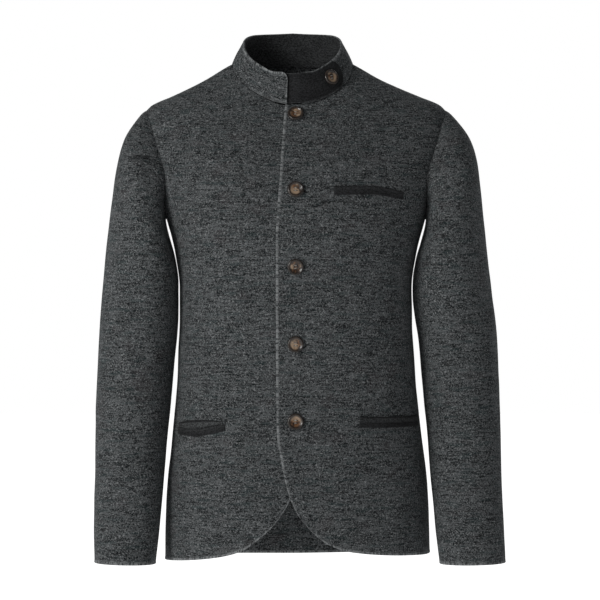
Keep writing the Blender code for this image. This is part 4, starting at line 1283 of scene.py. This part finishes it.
def add_tab(neck, charcoal):
    """The dark tab, from inside the collar's one end over its other end."""
    angles = np.concatenate(
        (
            np.linspace(TAB_START, TAB_INSIDE_UNTIL, TAB_INSIDE_COLUMNS, endpoint=False),
            np.linspace(TAB_INSIDE_UNTIL, TAB_OUTSIDE_FROM, TAB_CROSSING_COLUMNS, endpoint=False),
            np.linspace(TAB_OUTSIDE_FROM, TAB_END - TAB_ROUND_ANGLE, TAB_OUTSIDE_COLUMNS, endpoint=False),
            TAB_END - TAB_ROUND_ANGLE * (1 - np.array(TAB_END_STEPS)),
        )
    )
    past = np.clip(1 - (TAB_END - angles) / TAB_ROUND_ANGLE, 0, 1)
    round_off = np.sqrt(1 - past**TAB_ROUNDNESS)
    half = (TAB_HIGH - TAB_LOW) / 2 * (TAB_END_WIDTH + (1 - TAB_END_WIDTH) * round_off)
    middle = (TAB_HIGH + TAB_LOW) / 2
    steps = np.linspace(-1, 1, TAB_ROWS + 1)[:, None]
    shares = middle + steps * half
    wide = np.broadcast_to(angles, shares.shape)
    points, outward = collar_surface(wrapped_neck(neck), wide, shares)
    inner = points + outward * tab_offset(wide)[..., None]
    distance, along = edge_distance(inner, ("low", "high", "first", "last"))
    stitched = np.exp(-(((distance - TAB_STITCH_IN) / TAB_STITCH_WIDTH) ** 2))
    outer = inner + outward * (TAB_WALL - TAB_STITCH_DEPTH * stitched)[..., None]
    # Only rim points count as on the edge, so the tab's rim takes the pale trim mix, partly a painted
    # highlight
    shown = np.where(distance < RIM_TOLERANCE, 0, 1.0)
    uv = band_uv(outer, TAB_MAP_START)
    piece = cloth_wall("collar_tab_cloth", outer, inner, False, uv, shown, along, charcoal)
    dress(piece, "collar_tab", outer, False)


def strip_points(strip, mirror, uneven, columns, rows):
    """Panel points and normals under a strip, with the share of the way across it."""
    out = np.linspace(strip[0].out, strip[-1].out, columns + 1)
    middle = read(strip, "out", "middle", out)
    half = read(strip, "out", "width", out) / 2
    steps = np.linspace(-1, 1, rows + 1)[:, None]
    height = middle + steps * half
    x = np.broadcast_to(mirror * out, height.shape)
    across, level = front_place(x, height)
    points, normals = panel_points(-1, across, level, False, uneven)
    return points, normals, (steps + 1) / 2


def add_strip(name, node, strip, mirror, profile, settings, material):
    """A strip of cloth on a front, such as a pocket's welt.

    profile gives its thickness and its pale share at shares of the way up it. On a welt the pale share is a
    painted highlight on the roll; on the pocket lip it is the lip's grey cloth, dark along its top as
    painted shadow.
    """
    points, normals, share = strip_points(strip, mirror, settings.uneven, STRIP_COLUMNS, STRIP_ROWS)
    inner = points + normals * WELT_SEAT
    thick = smooth([row[0] for row in profile], [row[1] for row in profile], share)
    ends = arcs(points, 1)
    ends = np.minimum(ends, ends[:, -1:] - ends)
    thick = thick * (STRIP_END_SHARE + (1 - STRIP_END_SHARE) * np.sqrt(ease(ends / STRIP_END_REACH)))
    outer = inner + normals * thick[..., None]
    distance, along = edge_distance(inner, ("low", "high", "first", "last"))
    shown = np.where(distance < RIM_TOLERANCE, 0, 1.0)
    # Pale share up the strip: a painted highlight on a welt's roll; on the pocket lip its grey cloth, with
    # painted shadow along the top
    pale = smooth([row[0] for row in profile], [row[2] for row in profile], share)
    pale = np.broadcast_to(pale, shown.shape)
    uv = band_uv(inner, STRIP_MAP_START)
    piece = cloth_wall(name, outer, inner, False, uv, shown, along, material, pale)
    dress(piece, node, inner, False)


def add_rod(shape, radius, length, sides, place):
    """Adds a closed rod along the place's own Z, about its middle. Returns its vertices."""
    made = bmesh.ops.create_cone(
        shape, cap_ends=True, segments=sides, radius1=radius, radius2=radius, depth=length, matrix=place
    )
    return made["verts"]


def button_parts(horn, thread):
    """One turned horn button with four holes, and the two stitches of thread through them."""
    turned = bmesh.new()
    points = [turned.verts.new((BUTTON_RADIUS - turn.inset, 0, turn.height)) for turn in fine_profile()]
    edges = [turned.edges.new(pair) for pair in zip(points, points[1:])]
    bmesh.ops.spin(
        turned, geom=points + edges, axis=(0, 0, 1), cent=(0, 0, 0),
        steps=BUTTON_SIDES, angle=2 * math.pi, use_merge=True,
    )
    bmesh.ops.remove_doubles(turned, verts=turned.verts, dist=BUTTON_MERGE)
    bmesh.ops.recalc_face_normals(turned, faces=turned.faces)
    holes = bmesh.new()
    for x in (-1, 1):
        for y in (-1, 1):
            place = Matrix.Translation(Vector((x, y, 0)) * BUTTON_HOLE_SPACING / 2)
            add_rod(holes, BUTTON_HOLE_RADIUS, BUTTON_RADIUS, BUTTON_HOLE_SIDES, place)
    blank = add_object("button_blank", finished_mesh("button_blank", turned))
    cutter = add_object("button_cutter", finished_mesh("button_holes", holes))
    cut =blank.modifiers.new("holes", "BOOLEAN")
    cut.object = cutter
    cut.operation = "DIFFERENCE"
    graph = bpy.context.evaluated_depsgraph_get()
    button = bpy.data.meshes.new_from_object(blank.evaluated_get(graph))
    for piece in (blank, cutter):
        bpy.data.objects.remove(piece)
    button.materials.clear()
    button.materials.append(horn)
    rim = button.attributes.new("rim", "FLOAT", "POINT")
    for vertex in button.vertices:
        rim.data[vertex.index].value = vertex.co.xy.length / BUTTON_RADIUS
    stitches = bmesh.new()
    for y in (-1, 1):
        for strand in range(THREAD_STRANDS):
            lie = (strand - (THREAD_STRANDS - 1) / 2) * THREAD_RADIUS * THREAD_SPACING
            middle = Vector((0, y * BUTTON_HOLE_SPACING / 2 + lie, BUTTON_FACE + THREAD_LIFT))
            place = Matrix.Translation(middle) @ Matrix.Rotation(math.pi / 2, 4, "Y")
            ends = add_rod(stitches, THREAD_RADIUS, BUTTON_HOLE_SPACING, THREAD_SIDES, place)
            lengthwise = []
            for edge in stitches.edges:
                first, second = edge.verts
                if first in ends and second in ends and abs(first.co.x - second.co.x) > THREAD_RADIUS:
                    lengthwise.append(edge)
            bmesh.ops.subdivide_edges(stitches, edges=lengthwise, cuts=THREAD_CUTS)
    for vertex in stitches.verts:
        reach = abs(vertex.co.x) / (BUTTON_HOLE_SPACING / 2)
        vertex.co.z -= THREAD_SINK * reach**4
    bmesh.ops.recalc_face_normals(stitches, faces=stitches.faces)
    stitch_mesh = finished_mesh("button_thread", stitches)
    stitch_mesh.materials.append(thread)
    return button, stitch_mesh


def fine_profile():
    """The button's outline with its rounded rim drawn in more steps."""
    insets = [turn.inset for turn in BUTTON_PROFILE[1:-1]]
    heights = [turn.height for turn in BUTTON_PROFILE[1:-1]]
    steps = range(len(insets))
    fine = np.linspace(0, len(insets) - 1, (len(insets) - 1) * BUTTON_PROFILE_STEPS + 1)
    outline = [Turn(BUTTON_RADIUS, 0.0)]
    for inset, height in zip(smooth(steps, insets, fine), smooth(steps, heights, fine)):
        outline.append(Turn(float(inset), float(height)))
    outline.append(BUTTON_PROFILE[-1])
    return outline


def place_button(name, node, parts, point, outward):
    """Sets a button and its thread on the cloth, the holes level with the hem."""
    z = Vector(outward).normalized()
    x = Vector((0, 0, 1)).cross(z).normalized()
    frame_of = Matrix.Translation(Vector(point)) @ Matrix((x, z.cross(x), z)).transposed().to_4x4()
    for mesh, label in zip(parts, (name, f"{name}_thread")):
        own = mesh.copy()
        own.name = label
        own.transform(frame_of)
        piece = add_smooth_object(label, own)
        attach(piece, "root")
        if label == name:
            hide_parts(node)


class Nodes:
    """Adds shader nodes to a material or a world one by one and links them."""

    def __init__(self, owner):
        self.tree = owner.node_tree

    def fill(self, node, sources):
        """Links each source to its socket of the node, or gives the socket a plain value."""
        for socket, source in sources.items():
            target = node.inputs[socket]
            if hasattr(source, "links"):
                self.tree.links.new(source, target)
            else:
                target.default_value = source

    def add(self, kind, sources=None, **values):
        made = self.tree.nodes.new(kind)
        for name, value in values.items():
            setattr(made, name, value)
        self.fill(made, sources or {})
        return made

    def on_cloth(self):
        """Place on the flat cloth, in metres."""
        return self.add("ShaderNodeUVMap", uv_map="cloth").outputs[0]

    def on_object(self):
        """Place in the object, in metres."""
        return self.add("ShaderNodeTexCoord").outputs["Object"]

    def attribute(self, name):
        return self.add("ShaderNodeAttribute", attribute_name=name).outputs["Fac"]

    def in_view(self):
        """1 for what the camera sees itself, and 0 for what only lights the rest."""
        return self.add("ShaderNodeLightPath").outputs["Is Camera Ray"]

    def noise(self, place, scale, detail, roughness=0.5, distortion=0.0):
        """Noise over a place that is stretched by a scale for each axis."""
        moved = self.add("ShaderNodeMapping", {"Vector": place, "Scale": scale})
        made = self.add(
            "ShaderNodeTexNoise",
            {"Vector": moved.outputs[0], "Scale": 1.0, "Detail": detail, "Roughness": roughness,
             "Distortion": distortion},
        )
        return made.outputs[0]

    def spread(self, value, low, high, to_low=0.0, to_high=1.0):
        """A value's range set between two others, with soft ends."""
        made = self.add(
            "ShaderNodeMapRange",
            {"Value": value, "From Min": low, "From Max": high, "To Min": to_low, "To Max": to_high},
            interpolation_type="SMOOTHSTEP",
        )
        return made.outputs[0]

    def sum(self, first, second, share=1.0):
        """First value plus a share of the second."""
        made = self.add("ShaderNodeMath", {0: second, 1: share, 2: first}, operation="MULTIPLY_ADD")
        return made.outputs[0]

    def times(self, first, second):
        return self.add("ShaderNodeMath", {0: first, 1: second}, operation="MULTIPLY").outputs[0]

    def mix(self, share, first, second):
        """Colour between two others."""
        made = self.add("ShaderNodeMix", {0: share, 6: first, 7: second}, data_type="RGBA")
        return made.outputs[2]

    def layers(self, *rows):
        """Sum of values, each with the low and high end of its range and its share."""
        total = 0.0
        for value, low, high, share in rows:
            total = self.sum(total, self.spread(value, low, high), share)
        return total

    def bump(self, height, strength, distance):
        sources = {"Height": height, "Strength": strength, "Distance": distance}
        return self.add("ShaderNodeBump", sources).outputs[0]


def new_material(name):
    """An empty material with one shader, and the helper that adds its nodes."""
    material = bpy.data.materials.new(name)
    material.use_nodes = True
    return material, material.node_tree.nodes["Principled BSDF"], Nodes(material)


def colour4(colour):
    return (*colour, 1.0)


@lru_cache
def grey_wool():
    """Heathered boiled wool: level streaks of pale and dark fibre on a felted ground."""
    look = bpy.context.scene.jacket_wool
    material, shader, nodes = new_material("heathered_wool")
    place = nodes.on_cloth()
    spot = nodes.on_object()
    grain = nodes.noise(spot, (640, 640, 700), 2.0, 0.75)
    fleck = nodes.noise(spot, (290, 290, 420), 2.0, 0.7, 0.3)
    streak = nodes.noise(place, (48, 400, 1), 3.0, 0.6, 0.4)
    cloud = nodes.noise(place, (9, 48, 1), 3.0, 0.55)
    mottle = nodes.noise(place, (60, 85, 1), 3.0, 0.6, 0.4)
    blend = nodes.layers(
        (grain, 0.34, 0.66, 0.42),
        (fleck, 0.36, 0.64, 0.20),
        (streak, 0.37, 0.63, 0.22),
        (cloud, 0.34, 0.66, 0.07),
        (mottle, 0.34, 0.66, 0.09),
    )
    strong = nodes.spread(blend, 0.5 - look.contrast, 0.5 + look.contrast)
    base = nodes.mix(strong, colour4(look.dark), colour4(look.pale))
    tint = nodes.noise(place, (30, 150, 1), 2.0, 0.5)
    base = nodes.mix(nodes.spread(tint, 0.52, 0.68, 0.0, look.tint_share), base, colour4(look.tint))
    warmth = nodes.noise(spot, (26, 26, 40), 2.0, 0.5)
    base = nodes.mix(nodes.spread(warmth, 0.56, 0.72, 0.0, look.tint_share / 2), base, colour4(look.warm))
    bright = nodes.noise(spot, (400, 400, 520), 1.0, 0.6)
    base = nodes.mix(nodes.spread(bright, 0.58, 0.70, 0.0, 0.75), base, colour4(look.fleck))
    # Pale line along the free edges and the front neck seam: partly the cut edge's paler colour, partly a
    # painted highlight of the rim catching the light
    edge = nodes.attribute("edge")
    run = nodes.add("ShaderNodeCombineXYZ", {"X": nodes.attribute("along"), "Y": edge}).outputs[0]
    patch = nodes.noise(run, (45, 0.3, 1), 2.0, 0.5)
    dots = nodes.noise(run, (400, 0.5, 1), 1.0, 0.5)
    pale = nodes.spread(dots, 0.40, 0.56, 0.12, 1.0)
    pale = nodes.times(pale, nodes.spread(patch, 0.30, 0.66, 0.6, 1.0))
    base = nodes.mix(nodes.times(edge, pale), base, colour4(look.edge))
    felt = nodes.noise(spot, (900, 900, 1300), 3.0, 0.7)
    rise = nodes.sum(nodes.times(grain, 0.6), felt, 0.5)
    rise = nodes.sum(rise, fleck, 0.5)
    nodes.fill(shader, {
        "Base Color": base,
        "Normal": nodes.bump(rise, 0.75, 0.0011),
        "Roughness": nodes.spread(fleck, 0.3, 0.7, 0.86, 0.98),
        "Specular IOR Level": 0.12,
        "Sheen Weight": 0.05,
        "Sheen Roughness": 0.55,
        "Sheen Tint": colour4((0.75, 0.82, 0.86)),
    })
    return material


@lru_cache
def charcoal_wool():
    """Dark felted wool of the facing, the tab and the welts, with a paler mix: a painted highlight on the
    welts' rolls and, in part, along the rims, and the paler cloth of the facing and the pocket lip.
    """
    look = bpy.context.scene.jacket_wool
    material, shader, nodes = new_material("charcoal_felt")
    place = nodes.on_cloth()
    twill = nodes.noise(place, (460, 560, 1), 2.0, 0.7, 0.2)
    fleck = nodes.noise(place, (220, 400, 1), 3.0, 0.65)
    cloud = nodes.noise(place, (30, 60, 1), 3.0, 0.5)
    blend = nodes.layers((twill, 0.40, 0.62, 0.5), (fleck, 0.40, 0.62, 0.35), (cloud, 0.36, 0.64, 0.15))
    base = nodes.mix(blend, colour4(look.trim_dark), colour4(look.trim_pale))
    # Paler mix: painted highlight on the welts' rolls and partly on the rims, and the paler cloth of the
    # facing and the pocket lip
    painted_highlight_and_pale_cloth = nodes.times(nodes.attribute("edge"), nodes.spread(blend, 0.2, 0.8, 0.15, 1.0))
    nodes.fill(shader, {
        "Base Color": nodes.mix(painted_highlight_and_pale_cloth, base, colour4(look.trim_highlight_and_pale_cloth)),
        "Normal": nodes.bump(nodes.sum(twill, fleck, 0.7), 0.7, 0.0008),
        "Roughness": nodes.spread(fleck, 0.3, 0.7, 0.84, 0.97),
        "Specular IOR Level": 0.10,
        "Sheen Weight": 0.04,
        "Sheen Roughness": 0.5,
    })
    return material


@lru_cache
def horn():
    """Polished horn: brown layers with pale clouds and a dark rim, which is partly the horn's own colour
    and partly painted shadow.
    """
    look = bpy.context.scene.jacket_buttons
    material, shader, nodes = new_material("polished_horn")
    place = nodes.on_object()
    swirl = nodes.noise(place, (150, 60, 110), 3.0, 0.55, 1.4)
    grain = nodes.noise(place, (900, 260, 500), 3.0, 0.6, 0.5)
    cloud = nodes.noise(place, (75, 75, 75), 2.0, 0.5, 0.6)
    body = nodes.mix(nodes.spread(swirl, 0.40, 0.62), colour4(look.dark), colour4(look.middle))
    body = nodes.mix(nodes.spread(cloud, 0.46, 0.62), body, colour4(look.pale))
    body = nodes.mix(nodes.spread(grain, 0.45, 0.75, 0.0, 0.45), body, colour4(look.dark))
    # Dark outer band: partly the horn's darker rim, partly painted shadow round the button's edge
    rim = nodes.spread(nodes.attribute("rim"), 0.52, 0.76, 0.0, 0.94)
    nodes.fill(shader, {
        "Base Color": nodes.mix(rim, body, colour4(look.rim)),
        "Normal": nodes.bump(grain, 0.25, 0.0002),
        "Roughness": nodes.spread(grain, 0.3, 0.7, 0.22, 0.42),
        "Specular IOR Level": 0.4,
        "Coat Weight": 0.25,
        "Coat Roughness": 0.16,
    })
    return material


@lru_cache
def thread():
    """Twisted sewing thread."""
    look = bpy.context.scene.jacket_buttons
    material, shader, nodes = new_material("sewing_thread")
    twist = nodes.noise(nodes.on_object(), (1500, 1500, 1500), 2.0, 0.5)
    base = nodes.mix(nodes.spread(twist, 0.35, 0.65), colour4(look.thread_dark), colour4(look.thread))
    nodes.fill(shader, {"Base Color": base, "Normal": nodes.bump(twist, 0.5, 0.0002), "Roughness": 0.7})
    return material


def colour_property(name, description, default):
    return bpy.props.FloatVectorProperty(
        name=name, description=description, default=default, subtype="COLOR", size=3, min=0, max=1
    )


def number_property(name, description, default, **limits):
    return bpy.props.FloatProperty(name=name, description=description, default=default, **limits)


class JacketCloth(bpy.types.PropertyGroup):
    """Sizes of the sewn cloth that a user may change."""

    edge_roll: number_property(
        "Edge roll", "How far the stitched free edges stand proud", 0.00045, min=0, max=0.002, unit="LENGTH"
    )
    seam_dip: number_property(
        "Seam dip", "How deep the cloth dips at the sewn seams", 0.0007, min=0, max=0.003, unit="LENGTH"
    )
    unevenness: number_property(
        "Unevenness", "How far the soft cloth rises and falls between the folds",
        0.0013, min=0, max=0.004, unit="LENGTH",
    )


class JacketWool(bpy.types.PropertyGroup):
    """Colours of the wool."""

    dark: colour_property("Dark fibre", "Darkest fibre of the grey wool", (0.0050, 0.0060, 0.0066))
    pale: colour_property("Pale fibre", "Palest fibre of the grey wool", (0.0880, 0.0940, 0.0975))
    tint: colour_property("Tint", "Cool fibre mixed into the grey wool", (0.0210, 0.0340, 0.0355))
    tint_share: number_property(
        "Tint share", "How much of the cool fibre shows", 0.45, min=0, max=1, subtype="FACTOR"
    )
    contrast: number_property(
        "Contrast", "Half the range of the blend that runs from dark to pale; less is harsher",
        0.19, min=0.05, max=1, subtype="FACTOR",
    )
    warm: colour_property("Warm tint", "Warm fibre mixed into the grey wool", (0.0440, 0.0360, 0.0380))
    fleck: colour_property(
        "Bright fleck", "Single bright fibres of the grey wool", (0.2000, 0.2090, 0.2150)
    )
    # Pale edge colour: partly the cut edge's paler colour, partly a painted highlight of the rim catching
    # the light
    edge: colour_property("Edge", "Pale edge of the grey wool, partly a painted highlight", (0.2100, 0.2200, 0.2250))
    trim_dark: colour_property("Trim dark", "Darkest fibre of the trim", (0.0016, 0.0018, 0.0020))
    trim_pale: colour_property("Trim pale", "Palest fibre of the trim", (0.0270, 0.0280, 0.0300))
    # Paler trim colour: painted highlight on the welts' rolls, and the paler cloth of the facing and the
    # pocket lip
    trim_highlight_and_pale_cloth: colour_property("Trim highlight and pale cloth", "Painted highlight on a welt's roll, and paler trim cloth", (0.0640, 0.0680, 0.0700))


class JacketButtons(bpy.types.PropertyGroup):
    """Colours of the horn buttons and their thread."""

    dark: colour_property("Dark horn", "Dark layers of the horn", (0.0140, 0.0070, 0.0036))
    middle: colour_property("Brown horn", "Brown layers of the horn", (0.1200, 0.0550, 0.0230))
    pale: colour_property("Pale horn", "Pale clouds of the horn", (0.2800, 0.2000, 0.1350))
    # Dark rim: partly the horn's own colour, partly painted shadow round the button's edge
    rim: colour_property("Rim", "Dark rim of the button, partly painted shadow", (0.0080, 0.0052, 0.0038))
    thread: colour_property("Thread", "Pale side of the thread", (0.3600, 0.3400, 0.3200))
    thread_dark: colour_property("Thread shade", "Dark side of the thread", (0.1200, 0.1100, 0.1000))


class JacketStage(bpy.types.PropertyGroup):
    """Camera, lamps and floor."""

    camera_distance: number_property(
        "Camera distance", "From the camera to the side seams", 4.5, min=1, unit="LENGTH"
    )
    view_width: number_property(
        "View width", "Width of the picture at the side seams", 0.870, min=0.1, unit="LENGTH"
    )
    camera_middle: bpy.props.FloatVectorProperty(
        name="Camera middle", description="Point at the side seams that the camera looks at",
        default=(0.0109, 0.0, -0.342), subtype="XYZ", unit="LENGTH",
    )
    floor_level: number_property(
        "Floor level", "Height of the floor under the hanging jacket", -1.02, unit="LENGTH"
    )
    floor_radius: number_property("Floor radius", "Radius of the round floor", 14.0, min=1, unit="LENGTH")
    key_power: number_property(
        "Key lamp", "Power of the soft lamp at the upper left", 82.0, min=0, unit="POWER"
    )
    fill_power: number_property(
        "Fill lamp", "Power of the soft lamp at the right", 1.2, min=0, unit="POWER"
    )
    back_power: number_property("Back lamp", "Power of the soft lamp behind", 40.0, min=0, unit="POWER")
    ambient: number_property("Ambient", "Brightness of the white room round the jacket", 0.17, min=0)
    floor_bounce: number_property(
        "Floor bounce", "Light that the white floor throws up", 0.5, min=0, max=1, subtype="FACTOR"
    )


class JACKET_OT_body(bpy.types.Operator):
    """Makes the two fronts and the back of the jacket"""

    bl_idname = "jacket.body"
    bl_label = "Body panels"

    def execute(self, context):
        left, right, _, back = body_forms(sewing())
        add_panel("back_cloth", "back", back, grey_wool())
        add_panel("front_left_cloth", "front_left", left, grey_wool())
        add_panel("front_right_cloth", "front_right", right, grey_wool())
        return {"FINISHED"}


class JACKET_OT_sleeves(bpy.types.Operator):
    """Makes the two set-in sleeves"""

    bl_idname = "jacket.sleeves"
    bl_label = "Sleeves"

    def execute(self, context):
        settings = sewing()
        left, right, _, back = body_forms(settings)
        add_sleeve("sleeve_left_cloth", "sleeve_left", left, -1, back, -1, 1, settings, grey_wool())
        add_sleeve("sleeve_right_cloth", "sleeve_right", right, -1, back, 0, -1, settings, grey_wool())
        return {"FINISHED"}


class JACKET_OT_collar(bpy.types.Operator):
    """Makes the stand collar, its facing and the tab that closes it"""

    bl_idname = "jacket.collar"
    bl_label = "Collar and tab"

    def execute(self, context):
        settings = sewing()
        neck = neck_form(settings)
        add_collar_bands(neck, settings, grey_wool(), charcoal_wool())
        add_tab(neck, charcoal_wool())
        return {"FINISHED"}


class JACKET_OT_pockets(bpy.types.Operator):
    """Makes the pocket welts and the gaping lip of one pocket"""

    bl_idname = "jacket.pockets"
    bl_label = "Pockets"

    def execute(self, context):
        settings = sewing()
        for name, node, strip, mirror, profile in (
            ("welt_breast_cloth", "welt_breast", BREAST_WELT, 1, PADDED_WELT),
            ("welt_left_cloth", "welt_left", LOWER_WELT_TOP_SIDE, 1, ROLLED_WELT),
            ("welt_right_cloth", "welt_right", LOWER_WELT_UNDER_SIDE, -1, PADDED_WELT),
            ("pocket_lip_right", None, POCKET_LIP, -1, LIP_PROFILE),
        ):
            add_strip(name, node, strip, mirror, profile, settings, charcoal_wool())
        return {"FINISHED"}


class JACKET_OT_buttons(bpy.types.Operator):
    """Makes the horn buttons with their thread"""

    bl_idname = "jacket.buttons"
    bl_label = "Buttons"

    def execute(self, context):
        settings = sewing()
        parts = button_parts(horn(), thread())
        for number in range(BUTTON_COUNT):
            height = BUTTON_TOP - BUTTON_PITCH * number
            across, level = front_place(BUTTON_X, height)
            point, normal = panel_points(-1, across, level, False, settings.uneven)
            node = f"button_{number + 1}"
            place_button(f"horn_{node}", node, parts, point + normal * BUTTON_STAND, normal)
        near = wrapped_neck(neck_form(settings))
        at = np.array(COLLAR_BUTTON_ANGLE)
        point, outward = collar_surface(near, at, np.array(COLLAR_BUTTON_SHARE))
        stand = TAB_GAP + TAB_WALL + COLLAR_BUTTON_STAND
        place_button("horn_button_collar", "button_collar", parts, point + outward * stand, outward)
        return {"FINISHED"}


def add_lamp(lamp, aim, power):
    """A round soft lamp that faces a point."""
    name = f"{lamp.name}_lamp"
    light = bpy.data.lights.new(name, "AREA")
    light.shape = "DISK"
    light.size = lamp.size
    light.energy = power
    light.color = lamp.colour
    holder = add_object(name, light)
    holder.location = lamp.place
    holder.rotation_euler = (aim - Vector(lamp.place)).to_track_quat("-Z", "Y").to_euler()


class JACKET_OT_stage(bpy.types.Operator):
    """Makes the camera, the lamps, the white room and the pale floor"""

    bl_idname = "jacket.stage"
    bl_label = "Stage"

    def execute(self, context):
        stage = context.scene.jacket_stage
        middle = Vector(stage.camera_middle)
        data = bpy.data.cameras.new("camera")
        data.lens = data.sensor_width * stage.camera_distance / stage.view_width
        data.clip_end = CAMERA_REACH
        camera = add_object("camera", data)
        camera.location = middle - Vector((0, stage.camera_distance, 0))
        camera.rotation_euler = (math.pi / 2, 0, 0)
        context.scene.camera = camera

        for lamp in LAMPS:
            add_lamp(lamp, middle, getattr(stage, f"{lamp.name}_power"))

        world = bpy.data.worlds.new("white_room")
        world.use_nodes = True
        context.scene.world = world
        nodes = Nodes(world)
        room = nodes.tree.nodes["Background"]
        nodes.fill(room, {"Color": WHITE, "Strength": stage.ambient})
        seen = nodes.add("ShaderNodeBackground", {"Color": WHITE, "Strength": 1.0})
        ways = {0: nodes.in_view(), 1: room.outputs[0], 2: seen.outputs[0]}
        either = nodes.add("ShaderNodeMixShader", ways)
        nodes.fill(nodes.tree.nodes["World Output"], {0: either.outputs[0]})

        disc = bmesh.new()
        bmesh.ops.create_circle(disc, cap_ends=True, segments=FLOOR_SIDES, radius=stage.floor_radius)
        bmesh.ops.translate(disc, verts=disc.verts, vec=(0, 0, stage.floor_level))
        mesh = finished_mesh("floor", disc)
        material, shader, nodes = new_material("pale_floor")
        nodes.fill(shader, {
            "Base Color": FLOOR_COLOUR,
            "Roughness": FLOOR_ROUGHNESS,
            "Emission Color": WHITE,
            "Emission Strength": nodes.sum(stage.floor_bounce, nodes.in_view(), 1 - stage.floor_bounce),
        })
        mesh.materials.append(material)
        add_object("floor", mesh)

        context.scene.view_settings.view_transform = "Standard"
        return {"FINISHED"}


class JACKET_PT_panel(bpy.types.Panel):
    """Lists the jacket's sizes, colours and makers"""

    bl_idname = "JACKET_PT_panel"
    bl_label = "Jacket"
    bl_space_type = "VIEW_3D"
    bl_region_type = "UI"
    bl_category = "Jacket"

    def draw(self, context):
        layout = self.layout
        scene = context.scene
        for group in (scene.jacket_cloth, scene.jacket_wool, scene.jacket_buttons, scene.jacket_stage):
            box = layout.box()
            for name in group.__annotations__:
                box.prop(group, name)
        for maker in MAKERS:
            layout.operator(maker.bl_idname)


MAKERS = (
    JACKET_OT_stage,
    JACKET_OT_body,
    JACKET_OT_sleeves,
    JACKET_OT_collar,
    JACKET_OT_pockets,
    JACKET_OT_buttons,
)
GROUPS = {
    "jacket_cloth": JacketCloth,
    "jacket_wool": JacketWool,
    "jacket_buttons": JacketButtons,
    "jacket_stage": JacketStage,
}


def register():
    for kind in (*GROUPS.values(), *MAKERS, JACKET_PT_panel):
        bpy.utils.register_class(kind)
    for name, kind in GROUPS.items():
        setattr(bpy.types.Scene, name, bpy.props.PointerProperty(type=kind))


def unregister():
    for name in GROUPS:
        delattr(bpy.types.Scene, name)
    for kind in reversed((*GROUPS.values(), *MAKERS, JACKET_PT_panel)):
        bpy.utils.unregister_class(kind)


def main():
    register()
    bpy.ops.jacket.stage()
    bpy.ops.jacket.body()
    bpy.ops.jacket.sleeves()
    bpy.ops.jacket.collar()
    bpy.ops.jacket.pockets()
    bpy.ops.jacket.buttons()


if __name__ == "__main__":
    main()
